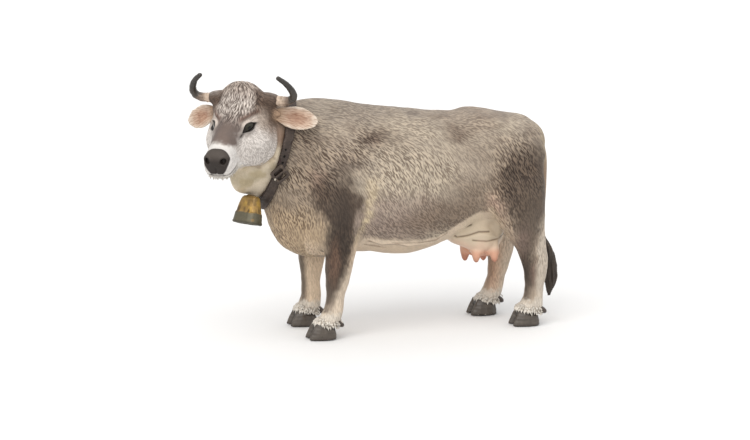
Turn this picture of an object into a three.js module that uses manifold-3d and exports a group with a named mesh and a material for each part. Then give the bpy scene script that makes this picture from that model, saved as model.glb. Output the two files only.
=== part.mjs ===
// A toy dairy cow with horns, a buckled collar and a bell, as a moulded figure is put together:
// trunk, head, four legs, udder, tail, horns, ears, collar, buckle and bell, each seated in the next.
// Millimetres. The cow faces -X, its left side is -Y, and +Z is up from the soles of its hooves.
import * as THREE from "three";
import { mergeVertices } from "three/addons/utils/BufferGeometryUtils.js";
import Module from "manifold-3d";

const wasm = await Module();
wasm.setup();

// Driving sizes of the body
const withersHeight = 81.2;
const trunkLength = 100;
const barrelWidth = 40;

// Driving sizes of the head, and how it is turned
const headLength = 36.5;
const headWidth = 20.8;
const headDepth = 26;
const headYaw = THREE.MathUtils.degToRad(53);
const headPitch = THREE.MathUtils.degToRad(31.4);
const eyeDiameter = 4.6;
const eyeSpacing = 11.8;
const noseWidth = 9.4;
const mouthGroove = 0.7;

// Driving sizes of the horns and the ears
const hornSpan = 9.4;
const hornRise = 9.4;
const hornThickness = 4;
const earLength = 15.8;
const earWidth = 8;
const earThickness = 1.2;

// Driving sizes of the legs
const kneeBreadth = 9.6;
const hockBreadth = 10.8;
const footBreadth = 9;
const clawLength = 9.8;
const clawHeight = 6;
const clawGap = 0.7;
const dewclawLength = 2.4;

// Driving sizes of the udder and the tail
const udderLength = 23;
const udderWidth = 19;
const udderDepth = 14.5;
const teatLength = 4.6;
const teatThickness = 2.6;
const tailThickness = 3.4;
const switchThickness = 5.8;

// Driving sizes of the collar and the bell
const strapWidth = 4;
const strapThickness = 1.1;
const strapFlareWidth = 1.6;
const buckleLength = 5.4;
const buckleWidth = 5.4;
const buckleThickness = 1;
const buckleBar = 1;
const bellHeight = 9.6;
const bellWidth = 10;
const bellDepth = 7.2;
const bellWall = 1;
const bellRecess = 2;
const bellLoop = 3.2;
const bellLoopWire = 1;

// Driving sizes of the seats between the pieces
const clearance = 0.3;
const spigotDiameter = 9;
const spigotLength = 6;

// How finely the surfaces are divided
const trunkSides = 28;
const trunkRings = 32;
const neckRings = 7;
const headSides = 26;
const headRings = 22;
const eyeSides = 12;
const legSides = 14;
const legRings = 14;
const seatSides = 40;
const clawSides = 12;
const dewclawRings = 5;
const udderSides = 20;
const udderRings = 10;
const teatSides = 10;
const tailRings = 24;
const hornRings = 14;
const earSides = 14;
const earRings = 11;
const sweepSides = 8;
const rodSides = 16;
const mouthRings = 26;
const grooveSides = 6;
const strapSteps = 48;
const buckleCornerSteps = 3;
const bellSides = 20;
const loopRings = 16;

const halfBarrel = barrelWidth / 2;
const LEFT = -1;
const RIGHT = 1;

// Surfaces

// Runs a smooth curve through the rows of a table, and returns rows spaced evenly from one place to another.
function smoothRows(rows, count, from = 0, to = rows.length - 1) {
  const places = rows.map((row, i) => i);
  const curve = new THREE.CubicInterpolant(places, rows.flat(), rows[0].length);
  const even = (i) => THREE.MathUtils.lerp(from, to, i / Math.max(count - 1, 1));
  return Array.from({ length: count }, (_, i) => [...curve.evaluate(even(i))]);
}

// A closed surface through rings of points, each with as many points, with a flat cap at both ends.
function skin(rings) {
  const sides = rings[0].length;
  const points = rings.flat();
  const faces = [];
  for (let r = 0; r + 1 < rings.length; r++)
    for (let k = 0; k < sides; k++) faces.push(...quad(r * sides, (r + 1) * sides, k, sides));
  for (const [first, reversed] of [[0, true], [points.length - sides, false]]) {
    const centre = middleOf(points.slice(first, first + sides));
    points.push(centre);
    for (let k = 0; k < sides; k++) {
      const edge = [first + k, first + ((k + 1) % sides)];
      faces.push(...(reversed ? edge.reverse() : edge), points.length - 1);
    }
  }
  return outward(points, faces);
}

// The same for rings that follow one another round in a circle, as in a strap.
function hoop(rings) {
  const sides = rings[0].length;
  const faces = [];
  rings.forEach((_, r) => {
    const next = (r + 1) % rings.length;
    for (let k = 0; k < sides; k++) faces.push(...quad(r * sides, next * sides, k, sides));
  });
  return outward(rings.flat(), faces);
}

function quad(row, nextRow, k, sides) {
  const l = (k + 1) % sides;
  return [row + k, row + l, nextRow + l, row + k, nextRow + l, nextRow + k];
}

function middleOf(points) {
  return points.reduce((sum, p) => sum.addScaledVector(p, 1 / points.length), new THREE.Vector3());
}

// A geometry of these points and triangles, turned so that its faces point out.
function outward(points, faces) {
  let volume = 0;
  for (let i = 0; i < faces.length; i += 3) {
    const [a, b, c] = [points[faces[i]], points[faces[i + 1]], points[faces[i + 2]]];
    volume += a.dot(b.clone().cross(c));
  }
  const geometry = new THREE.BufferGeometry().setFromPoints(points);
  geometry.setIndex(volume > 0 ? faces : [...faces].reverse());
  return geometry;
}

// A point for each of so many equal steps round a circle.
function around(steps, pointAt) {
  return Array.from({ length: steps }, (_, k) => pointAt((2 * Math.PI * k) / steps));
}

// A cross-section from a bottom to a top point, as wide as it gets at a share of its height, with one
// roundness above that and another below. Its turn slews one side back, for a neck that bends.
function section(shape, sides) {
  const { topX, topZ, bottomX, bottomZ, halfWidth, widest, topPower, bottomPower, centreY, turn } = shape;
  return around(sides, (angle) => {
    const power = Math.sin(angle) > 0 ? topPower : bottomPower;
    const rise = Math.abs(Math.sin(angle)) ** (2 / power);
    const reach = Math.sign(Math.cos(angle)) * Math.abs(Math.cos(angle)) ** (2 / power);
    const share = Math.sin(angle) > 0 ? widest + (1 - widest) * rise : widest * (1 - rise);
    return new THREE.Vector3(
      THREE.MathUtils.lerp(bottomX, topX, share) - turn * halfWidth * reach,
      centreY + halfWidth * reach,
      THREE.MathUtils.lerp(bottomZ, topZ, share),
    );
  });
}

// Muscle, bone and hollow: each form lifts the surface along its normal, most at its own centre, and one
// whose centre is off the middle is made on both sides.
function sculpt(geometry, forms) {
  geometry.computeVertexNormals();
  const position = geometry.getAttribute("position");
  const normal = geometry.getAttribute("normal");
  const point = new THREE.Vector3();
  const out = new THREE.Vector3();
  for (let i = 0; i < position.count; i++) {
    point.fromBufferAttribute(position, i);
    out.fromBufferAttribute(normal, i);
    let lift = 0;
    for (const { at, reach, rise } of forms) {
      const y = at[1] > 0 ? Math.abs(point.y) : point.y;
      const away = ((point.x - at[0]) / reach[0]) ** 2 + ((y - at[1]) / reach[1]) ** 2
        + ((point.z - at[2]) / reach[2]) ** 2;
      lift += rise * Math.exp(-away);
    }
    point.addScaledVector(out, lift);
    position.setXYZ(i, point.x, point.y, point.z);
  }
  return geometry;
}

// A tapering rod along a curve, with half its thickness worked out from the share of the length run.
function sweep(curve, halfThickness, rings, sides = sweepSides) {
  const frames = curve.computeFrenetFrames(rings - 1);
  return skin(Array.from({ length: rings }, (_, r) => {
    const along = r / (rings - 1);
    const centre = curve.getPointAt(along);
    const half = halfThickness(along);
    return around(sides, (angle) => centre.clone()
      .addScaledVector(frames.normals[r], half * Math.cos(angle))
      .addScaledVector(frames.binormals[r], half * Math.sin(angle)));
  }));
}

// Solids

function solidOf(geometry, matrix = new THREE.Matrix4()) {
  const bare = geometry.index ? geometry.toNonIndexed() : geometry.clone();
  for (const name of Object.keys(bare.attributes)) if (name !== "position") bare.deleteAttribute(name);
  const merged = mergeVertices(bare.applyMatrix4(matrix));
  return new wasm.Manifold(new wasm.Mesh({
    numProp: 3,
    vertProperties: new Float32Array(merged.attributes.position.array),
    triVerts: new Uint32Array(merged.index.array),
  }));
}

function geometryOf(solid) {
  const mesh = solid.getMesh();
  const geometry = new THREE.BufferGeometry();
  geometry.setAttribute("position", new THREE.BufferAttribute(mesh.vertProperties.slice(), 3));
  geometry.setIndex(new THREE.BufferAttribute(mesh.triVerts.slice(), 1));
  return geometry;
}

// The same solid with its skin moved out, which cuts a seat that leaves the clearance all round.
function swollen(solid) {
  const geometry = mergeVertices(geometryOf(solid));
  geometry.computeVertexNormals();
  const position = geometry.getAttribute("position");
  const normal = geometry.getAttribute("normal");
  const point = new THREE.Vector3();
  const out = new THREE.Vector3();
  for (let i = 0; i < position.count; i++) {
    point.fromBufferAttribute(position, i);
    point.addScaledVector(out.fromBufferAttribute(normal, i), clearance);
    position.setXYZ(i, point.x, point.y, point.z);
  }
  return solidOf(geometry);
}

function join(solids) {
  return solids.reduce((whole, solid) => whole.add(solid));
}

function cut(solid, cutters) {
  return cutters.reduce((left, cutter) => left.subtract(cutter), solid);
}

// Cuts leave crumbs where two skins cross at a shallow angle: only the piece itself is kept.
function largest(solid) {
  return solid.decompose().sort((a, b) => b.volume() - a.volume())[0];
}

function ellipsoid(halfSizes, at) {
  const matrix = new THREE.Matrix4().makeTranslation(...at).scale(new THREE.Vector3(...halfSizes));
  return solidOf(new THREE.SphereGeometry(1, eyeSides, eyeSides / 2), matrix);
}

// A round rod from one point towards another.
function rod(from, direction, length, diameter) {
  const along = direction.clone().normalize();
  const turned = new THREE.Quaternion().setFromUnitVectors(new THREE.Vector3(0, 1, 0), along);
  const middle = from.clone().addScaledVector(along, length / 2);
  const matrix = new THREE.Matrix4().compose(middle, turned, new THREE.Vector3(1, 1, 1));
  return solidOf(new THREE.CylinderGeometry(diameter / 2, diameter / 2, length, rodSides), matrix);
}

// Trunk and neck

// From the buttocks to the throat. Each row is one cross-section, as shares of the trunk's length, the
// height at the withers and half the barrel's width: top x, top z, bottom x, bottom z, half width,
// widest place, roundness above, roundness below, centre y, turn
const trunkShares = [
  [0.47, 0.746, 0.47, 0.581, 0.38, 0.55, 2.2, 2, 0, 0],
  [0.46, 0.795, 0.46, 0.522, 0.6, 0.6, 2.4, 2, 0, 0],
  [0.435, 0.836, 0.435, 0.478, 0.76, 0.62, 2.6, 2, 0, 0],
  [0.39, 0.871, 0.39, 0.454, 0.85, 0.62, 2.6, 2, 0, 0],
  [0.32, 0.902, 0.32, 0.434, 0.89, 0.6, 2.5, 2, 0, 0],
  [0.26, 0.922, 0.26, 0.42, 0.9, 0.57, 2.4, 2, 0, 0],
  [0.215, 0.926, 0.215, 0.41, 0.91, 0.55, 2.4, 2, 0, 0],
  [0.16, 0.917, 0.16, 0.386, 0.93, 0.5, 2.2, 2, 0, 0],
  [0.08, 0.924, 0.08, 0.353, 0.98, 0.45, 2.1, 2.1, 0, 0],
  [0, 0.937, 0, 0.331, 1, 0.43, 2.05, 2.2, 0, 0],
  [-0.08, 0.949, -0.08, 0.333, 0.99, 0.42, 2, 2.2, 0, 0],
  [-0.16, 0.963, -0.16, 0.347, 0.95, 0.42, 1.95, 2.2, 0, 0],
  [-0.23, 0.98, -0.23, 0.341, 0.9, 0.42, 1.9, 2.1, 0, 0],
  [-0.3, 0.994, -0.3, 0.322, 0.86, 0.42, 1.85, 2, 0, 0],
  [-0.35, 1, -0.38, 0.323, 0.8, 0.43, 1.85, 1.9, 0, 0],
  [-0.38, 1, -0.46, 0.366, 0.7, 0.45, 1.85, 1.8, -0.05, 0],
  [-0.4, 0.999, -0.505, 0.439, 0.6, 0.47, 1.9, 1.8, -0.1, 0.01],
  [-0.425, 0.998, -0.53, 0.518, 0.51, 0.48, 1.9, 1.8, -0.15, 0.03],
  [-0.452, 0.998, -0.55, 0.582, 0.44, 0.5, 1.9, 1.8, -0.21, 0.06],
  [-0.49, 1.004, -0.589, 0.612, 0.42, 0.5, 1.9, 1.8, -0.29, 0.14],
  [-0.53, 1.02, -0.633, 0.625, 0.4, 0.5, 1.9, 1.8, -0.38, 0.24],
  [-0.568, 1.034, -0.659, 0.649, 0.36, 0.52, 1.9, 1.8, -0.46, 0.32],
  [-0.6, 1.029, -0.67, 0.693, 0.27, 0.55, 1.9, 1.8, -0.53, 0.36],
];
const seamRow = 18;

function trunkShapes(count, from, to) {
  return smoothRows(trunkShares, count, from, to).map((row) => {
    const [topX, topZ, bottomX, bottomZ, halfWidth, widest, topPower, bottomPower, centreY, turn] = row;
    return {
      topX: topX * trunkLength,
      topZ: topZ * withersHeight,
      bottomX: bottomX * trunkLength,
      bottomZ: bottomZ * withersHeight,
      halfWidth: halfWidth * halfBarrel,
      widest,
      topPower,
      bottomPower,
      centreY: centreY * halfBarrel,
      turn,
    };
  });
}

// Where a place given as shares of the body's length, half width and height lies.
function bodyPlace(x, y, z) {
  return [x * trunkLength, y * halfBarrel, z * withersHeight];
}

// Hook bones, pin bones, the hollow ahead of the hips, shoulder blades, the hollow behind them and the points
// of the shoulders, each with its place, its reach and its rise.
const trunkFormShares = [
  [[0.215, 0.66, 0.893], [0.05, 0.25, 0.059], 0.08],
  [[0.45, 0.35, 0.785], [0.05, 0.22, 0.059], 0.05],
  [[0.13, 0.88, 0.785], [0.08, 0.3, 0.078], -0.07],
  [[-0.28, 0.65, 0.824], [0.07, 0.3, 0.146], 0.07],
  [[-0.17, 0.85, 0.746], [0.05, 0.3, 0.156], -0.05],
  [[-0.45, 0.6, 0.571], [0.06, 0.3, 0.068], 0.07],
];

function trunkSkin() {
  const rings = trunkShapes(trunkRings, 0, seamRow).map((shape) => section(shape, trunkSides));
  return sculpt(skin(rings), trunkFormShares.map(([at, reach, rise]) => ({
    at: bodyPlace(...at),
    reach: bodyPlace(...reach),
    rise: rise * halfBarrel,
  })));
}

// The neck ends in a flat seam under the strap, with a spigot that the head is seated on.
const seamShape = trunkShapes(1, seamRow, seamRow)[0];
const seamRing = section(seamShape, trunkSides);
const seamCentre = middleOf(seamRing);
const seamNormal = new THREE.Vector3(-1, 0, 0);
seamNormal.crossVectors(
  seamRing[0].clone().sub(seamCentre),
  seamRing[trunkSides / 4].clone().sub(seamCentre),
).normalize();
if (seamNormal.x > 0) seamNormal.negate();

// Legs

// From inside the trunk down to the hoof: height, place along and place out as shares of the body, then half
// sizes along and across as shares of the joint's breadth, and how much narrower the back edge is.
const foreShares = [
  [0.722, -0.318, 0.44, 0.2, 0.2, 0],
  [0.698, -0.318, 0.5, 0.55, 0.38, 0],
  [0.649, -0.318, 0.57, 0.82, 0.52, 0],
  [0.571, -0.312, 0.63, 0.95, 0.58, 0],
  [0.493, -0.303, 0.65, 0.88, 0.57, 0.05],
  [0.415, -0.296, 0.64, 0.7, 0.48, 0.1],
  [0.347, -0.295, 0.63, 0.55, 0.43, 0.1],
  [0.29, -0.3, 0.62, 0.51, 0.43, 0.05],
  [0.246, -0.302, 0.615, 0.44, 0.39, 0.1],
  [0.185, -0.309, 0.61, 0.34, 0.31, 0.1],
  [0.13, -0.314, 0.61, 0.36, 0.33, 0.05],
  [0.088, -0.328, 0.61, 0.43, 0.41, 0],
  [0.059, -0.346, 0.61, 0.43, 0.42, 0],
  [0.039, -0.353, 0.61, 0.36, 0.36, 0],
];
const hindShares = [
  [0.766, 0.36, 0.42, 0.3, 0.18, 0],
  [0.727, 0.36, 0.5, 0.78, 0.45, 0],
  [0.649, 0.355, 0.58, 1.02, 0.62, 0],
  [0.571, 0.35, 0.63, 1.08, 0.67, 0],
  [0.493, 0.355, 0.63, 0.98, 0.62, 0.05],
  [0.425, 0.37, 0.61, 0.78, 0.5, 0.1],
  [0.366, 0.39, 0.59, 0.6, 0.42, 0.2],
  [0.306, 0.405, 0.575, 0.52, 0.36, 0.35],
  [0.262, 0.41, 0.57, 0.45, 0.33, 0.3],
  [0.207, 0.409, 0.565, 0.35, 0.29, 0.15],
  [0.152, 0.405, 0.56, 0.31, 0.28, 0.1],
  [0.109, 0.399, 0.56, 0.35, 0.33, 0],
  [0.078, 0.39, 0.56, 0.4, 0.37, 0],
  [0.054, 0.378, 0.56, 0.39, 0.37, 0],
  [0.039, 0.374, 0.56, 0.34, 0.33, 0],
];

// The row of both tables that stays in its place when the foot moves.
const straightRow = 3;

// The round seat of a leg in the trunk: its centre along and up, its half sizes, and where its flat end lies.
const foreSeatShares = [-0.315, 0.522, 0.1, 0.229, 0.3];
const hindSeatShares = [0.365, 0.571, 0.14, 0.224, 0.36];

function legSeat([x, z, halfX, halfZ, inner], side, margin) {
  const [centreX, innerY, centreZ] = bodyPlace(x, inner, z);
  const matrix = new THREE.Matrix4()
    .makeTranslation(centreX, side * (innerY - margin + halfBarrel / 2), centreZ)
    .scale(new THREE.Vector3(halfX * trunkLength + margin, halfBarrel, halfZ * withersHeight + margin));
  return solidOf(new THREE.CylinderGeometry(1, 1, 1, seatSides), matrix);
}

// The lean moves the foot forward and the bow the knee, as shares of the trunk's length; the root stays.
function legShaft(shares, breadth, side, lean, bow) {
  const straightFrom = shares[straightRow][0];
  const straightTo = shares[shares.length - 1][0];
  return solidOf(skin(smoothRows(shares, legRings).map((row) => {
    const [up, back, out, halfLength, halfBreadth, pinch] = row;
    const drop = THREE.MathUtils.clamp((straightFrom - up) / (straightFrom - straightTo), 0, 1);
    const forward = lean * drop + bow * Math.sin(Math.PI * drop);
    const [x, y, z] = bodyPlace(back - forward, side * out, up);
    return around(legSides, (angle) => {
      const behind = (1 + Math.cos(angle)) / 2;
      return new THREE.Vector3(
        x + halfLength * breadth * Math.cos(angle),
        y + halfBreadth * breadth * Math.sin(angle) * (1 - pinch * behind),
        z,
      );
    });
  })));
}

function footPlace(shares, side, lean) {
  const [, back, out] = shares[shares.length - 1];
  return bodyPlace(back - lean, side * out, 0);
}

// Each level of a claw's wall: height, then how far the toe, the heel and the side reach.
const clawShares = [
  [0, 0.57, 0.4, 0.94],
  [0.06, 0.6, 0.42, 1],
  [0.5, 0.48, 0.41, 0.98],
  [1, 0.31, 0.36, 0.86],
];
const heelShare = 0.62;
const toeTaperShare = 0.42;

function claw([x, y], side) {
  const halfBreadth = (footBreadth - clawGap) / 4;
  const centre = y + side * (clawGap / 2 + halfBreadth);
  return solidOf(skin(clawShares.map(([up, toe, heel, reach]) => around(clawSides, (angle) => {
    const forward = Math.cos(angle);
    const along = forward > 0 ? -toe * forward : heel * -forward;
    const out = Math.sin(angle) * (1 - toeTaperShare * Math.max(forward, 0) ** 2);
    const wallShare = THREE.MathUtils.lerp(heelShare, 1, Math.max(forward, 0));
    return new THREE.Vector3(
      x + along * clawLength,
      centre + side * halfBreadth * out * (out > 0 ? reach : 1),
      up * clawHeight * wallShare,
    );
  }))));
}

// Where the dewclaws stand behind and above the foot, as shares of the claw's length, the foot's breadth
// and the claw's height; then their line and their half thickness, as shares of their own length.
const dewclawPlaceShares = [0.38, 0.25, 1.35];
const dewclawShares = [
  [-0.7, 0.5],
  [0, 0],
  [0.85, -1],
];
const dewclawTaperShares = [0.44, 0.14];

function dewclaw([x, y], side) {
  const [back, across, up] = dewclawPlaceShares;
  const root = new THREE.Vector3(x + back * clawLength, y + side * across * footBreadth, up * clawHeight);
  const curve = new THREE.CatmullRomCurve3(dewclawShares.map(([behind, above]) => {
    return new THREE.Vector3(behind, 0, above).multiplyScalar(dewclawLength).add(root);
  }));
  const halfThickness = (along) => dewclawLength * THREE.MathUtils.lerp(...dewclawTaperShares, along);
  return solidOf(sweep(curve, halfThickness, dewclawRings));
}

function foot(place) {
  return [LEFT, RIGHT].flatMap((side) => [claw(place, side), dewclaw(place, side)]);
}

// Udder and tail

// Levels of the udder from inside the belly down: how far down, half length and half width
const udderShares = [
  [0, 0.36, 0.36],
  [0.16, 0.46, 0.44],
  [0.4, 0.5, 0.49],
  [0.62, 0.47, 0.48],
  [0.82, 0.38, 0.42],
  [0.94, 0.26, 0.3],
  [1, 0.1, 0.12],
];
const udderPlaceShares = [0.225, 0, 0.488];
const udderSlopeShare = 0.16;
const teatRowShares = [-0.02, 0.27];
const teatSpreadShare = 0.3;
const teatRootShare = 0.86;

function udderBag() {
  const [x, y, top] = bodyPlace(...udderPlaceShares);
  const bag = skin(smoothRows(udderShares, udderRings).map(([down, halfLength, halfWidth]) => {
    return around(udderSides, (angle) => new THREE.Vector3(
      x + udderLength * halfLength * Math.cos(angle),
      y + udderWidth * halfWidth * Math.sin(angle),
      top - udderDepth * down * (1 + udderSlopeShare * Math.cos(angle) * down),
    ));
  }));
  const teats = teatRowShares.flatMap((back) => [LEFT, RIGHT].map((side) => teat([
    x + udderLength * back,
    y + side * udderWidth * teatSpreadShare,
    top - udderDepth * teatRootShare,
  ])));
  return join([solidOf(bag), ...teats]);
}

// The teat's profile: radius and height, as shares of its half thickness and its length.
const teatShares = [
  [0, -1],
  [0.45, -0.96],
  [0.66, -0.78],
  [0.85, -0.4],
  [1.1, 0],
  [1.4, 0.35],
  [0, 0.35],
];

function teat(root) {
  const profile = teatShares.map(([r, z]) => new THREE.Vector2((r * teatThickness) / 2, z * teatLength));
  const upright = new THREE.Matrix4().makeTranslation(...root);
  upright.multiply(new THREE.Matrix4().makeRotationX(Math.PI / 2));
  return solidOf(new THREE.LatheGeometry(profile, teatSides), upright);
}

// The tail's line from its root, over the rump and down behind the hocks.
const tailShares = [
  [0.42, 0, 0.795],
  [0.457, 0, 0.79],
  [0.483, 0.01, 0.727],
  [0.489, 0.01, 0.61],
  [0.486, 0.01, 0.473],
  [0.488, 0.01, 0.37],
  [0.504, 0.01, 0.284],
  [0.517, 0, 0.176],
  [0.513, 0, 0.081],
];
// Where the switch starts along the tail, how much the cord thins down to there, how pointed the switch
// begins and ends, and its thinnest place.
const switchShare = 0.66;
const tailTaperShare = 0.5;
const switchRoundShares = [0.8, 0.7];
const tailTipShare = 0.2;

function tailRod() {
  const places = tailShares.map((place) => new THREE.Vector3(...bodyPlace(...place)));
  const curve = new THREE.CatmullRomCurve3(places);
  const [begins, ends] = switchRoundShares;
  return solidOf(sweep(curve, (along) => {
    const cord = (tailThickness / 2) * (1 - tailTaperShare * Math.min(along / switchShare, 1));
    const tuft = THREE.MathUtils.clamp((along - switchShare) / (1 - switchShare), 0, 1);
    const swell = (switchThickness / 2) * Math.sin(Math.PI * tuft ** begins) ** ends;
    return Math.max(cord * (1 - tuft ** 2), swell, cord * tailTipShare);
  }, tailRings));
}

// Head

// The head's own frame lies midway between the eyes: its nose is at -X, its left side at -Y, its brow at +Z.
// It stands this far from the middle of the seam, as shares of the head's length, of half the barrel's width,
// which the neck's width follows, and of the head's depth.
const headPlaceShares = [-0.5004, -0.59, 0.408];
const headReach = new THREE.Vector3(headLength, halfBarrel, headDepth);
const headGroup = new THREE.Group();
headGroup.position.copy(seamCentre).add(new THREE.Vector3(...headPlaceShares).multiply(headReach));
headGroup.rotation.set(0, -headPitch, headYaw, "ZYX");
headGroup.updateMatrixWorld(true);
const toHead = headGroup.matrixWorld.clone().invert();

// From the nape to the nose, as shares of the head's length, its depth and half its width:
// forward, top z, bottom z, half width, widest place, roundness above, roundness below
const skullShares = [
  [-0.51, 0.02, -0.2, 0.3, 0.45, 2, 2],
  [-0.48, 0.15, -0.37, 0.55, 0.47, 2.2, 2.1],
  [-0.43, 0.255, -0.56, 0.8, 0.47, 2.4, 2.4],
  [-0.355, 0.305, -0.7, 0.98, 0.46, 2.3, 2.7],
  [-0.25, 0.297, -0.76, 1.1, 0.42, 1.8, 2.8],
  [-0.14, 0.257, -0.755, 1.12, 0.4, 1.72, 2.8],
  [-0.03, 0.207, -0.69, 1.05, 0.4, 1.7, 2.7],
  [0.08, 0.168, -0.6, 0.87, 0.42, 1.8, 2.6],
  [0.19, 0.142, -0.5, 0.66, 0.46, 2, 2.5],
  [0.3, 0.125, -0.41, 0.51, 0.5, 2.3, 2.5],
  [0.4, 0.12, -0.345, 0.465, 0.53, 2.5, 2.5],
  [0.475, 0.098, -0.305, 0.455, 0.53, 2.5, 2.5],
  [0.518, 0.035, -0.24, 0.37, 0.5, 2.4, 2.4],
  [0.53, -0.04, -0.17, 0.2, 0.5, 2, 2],
];

function headPlace(forward, across, up) {
  return [-forward * headLength, (across * headWidth) / 2, up * headDepth];
}

function skull() {
  const rings = smoothRows(skullShares, headRings).map((row) => {
    const [forward, top, bottom, halfWidth, widest, topPower, bottomPower] = row;
    const x = -forward * headLength;
    return section({
      topX: x,
      topZ: top * headDepth,
      bottomX: x,
      bottomZ: bottom * headDepth,
      halfWidth: (halfWidth * headWidth) / 2,
      widest,
      topPower,
      bottomPower,
      centreY: 0,
      turn: 0,
    }, headSides);
  });
  return sculpt(skin(rings), headFormShares.map(([at, reach, rise]) => ({
    at: headPlace(...at),
    reach: headPlace(...reach),
    rise: rise * headDepth,
  })));
}

// Brows, eye sockets, cheekbones, the hollow ahead of them and the tuft between the horns, each with its
// place, its reach and its rise.
const headFormShares = [
  [[-0.11, 0.66, 0.17], [0.07, 0.26, 0.07], 0.03],
  [[0.02, 0.7, 0.03], [0.085, 0.24, 0.09], -0.065],
  [[0.03, 0.95, -0.22], [0.13, 0.4, 0.12], 0.015],
  [[0.22, 0.55, -0.12], [0.1, 0.3, 0.1], -0.02],
  [[-0.41, 0, 0.3], [0.09, 0.5, 0.1], 0.03],
];

// The eyeball's half sizes along, across and up as shares of its radius, and how far down it is set.
const eyeFormShares = [1.2, 0.8, 0.76];
const eyeDropShare = 0.2;

function eyeball(side) {
  const radius = eyeDiameter / 2;
  const place = [0, (side * eyeSpacing) / 2, -radius * eyeDropShare];
  return ellipsoid(eyeFormShares.map((share) => share * radius), place);
}

// A nostril's place as shares of the head and its half sizes as shares of the nose, and the mouth's line.
const nostrilShares = [0.505, 0.26, 0.015];
const nostrilFormShares = [0.18, 0.11, 0.09];
const mouthShares = [
  [0.3, 0.5, -0.21],
  [0.39, 0.455, -0.185],
  [0.475, 0.41, -0.185],
  [0.522, 0.15, -0.19],
];

function nostril(side) {
  const [forward, across, up] = nostrilShares;
  const halfSizes = nostrilFormShares.map((share) => share * noseWidth);
  return ellipsoid(halfSizes, headPlace(forward, side * across, up));
}

function mouth() {
  const left = mouthShares.map((place) => new THREE.Vector3(...headPlace(...place)));
  const right = left.map((p) => new THREE.Vector3(p.x, -p.y, p.z)).reverse();
  const curve = new THREE.CatmullRomCurve3([...left, ...right]);
  return solidOf(sweep(curve, () => mouthGroove / 2, mouthRings, grooveSides));
}

// Horns and ears

// The horn's line from inside the poll: out as a share of its span, forward and up as shares of its rise
const hornShares = [
  [-0.4, 0, 0],
  [0, 0, 0],
  [0.5, -0.04, -0.06],
  [0.87, -0.06, -0.03],
  [1, -0.07, 0.18],
  [0.93, -0.07, 0.5],
  [0.75, -0.06, 0.78],
  [0.5, -0.05, 1],
];
const hornPlaceShares = [-0.367, 0.84, 0.06];
const hornTaperShare = 0.6;
const hornTaperPower = 1.4;

function horn(side) {
  const [forwardShare, acrossShare, upShare] = hornPlaceShares;
  const [x, y, z] = headPlace(forwardShare, side * acrossShare, upShare);
  const curve = new THREE.CatmullRomCurve3(hornShares.map(([out, forward, up]) => new THREE.Vector3(
    x - forward * hornRise,
    y + side * out * hornSpan,
    z + up * hornRise,
  )));
  const halfThickness = (along) => (hornThickness / 2) * (1 - hornTaperShare * along ** hornTaperPower);
  return solidOf(sweep(curve, halfThickness, hornRings));
}

// Along the ear: half its width, and how deep it is cupped.
const earShares = [
  [-0.14, 0.18, 0.04],
  [0, 0.22, 0.05],
  [0.1, 0.27, 0.07],
  [0.22, 0.37, 0.1],
  [0.38, 0.47, 0.12],
  [0.56, 0.5, 0.12],
  [0.73, 0.44, 0.1],
  [0.88, 0.3, 0.06],
  [0.96, 0.16, 0.02],
  [1, 0.04, 0],
];
// Where the ear starts in the head's frame, and the way it points and opens: forward, out and up. The
// right one hangs a little lower.
const earPlaceShares = [-0.318, 0.97, -0.11];
const earPointShares = { [LEFT]: [-0.25, 0.885, -0.4], [RIGHT]: [-0.2, 0.83, -0.52] };
const earOpenShares = [0.71, 0.35, 0.61];
// Half the ear's thickness at its tip, and what its width adds to that.
const earThicknessShares = [0.5, 0.35];

function ear(side) {
  const [forward, across, up] = earPlaceShares;
  const root = new THREE.Vector3(...headPlace(forward, side * across, up));
  const out = headDirection(earPointShares[side], side);
  const open = headDirection(earOpenShares, side);
  open.addScaledVector(out, -open.dot(out)).normalize();
  const wide = new THREE.Vector3().crossVectors(out, open);
  const [tipShare, widthShare] = earThicknessShares;
  return solidOf(skin(smoothRows(earShares, earRings).map(([along, halfWidth, cup]) => {
    const centre = root.clone().addScaledVector(out, along * earLength);
    const thick = earThickness * (tipShare + widthShare * halfWidth);
    return around(earSides, (angle) => centre.clone()
      .addScaledVector(wide, halfWidth * earWidth * Math.cos(angle))
      .addScaledVector(open, cup * earWidth * (Math.cos(angle) ** 2 - 1) + thick * Math.sin(angle)));
  })));
}

function headDirection([forward, out, up], side) {
  return new THREE.Vector3(-forward, side * out, up).normalize();
}

// Collar and buckle

// The neck's outline at any row of the trunk's table.
function neckRing(row) {
  return section(trunkShapes(1, row, row)[0], strapSteps);
}

// One step round the neck, with the ways along it and out of it and how far apart two rows are there.
const rowStep = 0.05;

function neckFrame(k, row) {
  const at = (k + strapSteps) % strapSteps;
  const [behind, here, ahead] = [-rowStep, 0, rowStep].map((step) => neckRing(row + step));
  const along = ahead[at].clone().sub(behind[at]);
  const round = here[(at + 1) % strapSteps].clone().sub(here[(at + strapSteps - 1) % strapSteps]);
  const out = new THREE.Vector3().crossVectors(along, round).normalize();
  if (out.dot(here[at].clone().sub(seamCentre)) < 0) out.negate();
  const rowLength = along.length() / (2 * rowStep);
  return { point: here[at].clone(), along: along.normalize(), out, rowLength };
}

// The strap's section: places across it and up from the neck, which it follows on both sides of the seam.
const strapSectionShares = [
  [-1, 0],
  [-0.5, 0],
  [0, 0],
  [0.5, 0],
  [1, 0],
  [1, 0.7],
  [0.85, 1],
  [0, 1],
  [-0.85, 1],
  [-1, 0.7],
];

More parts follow.
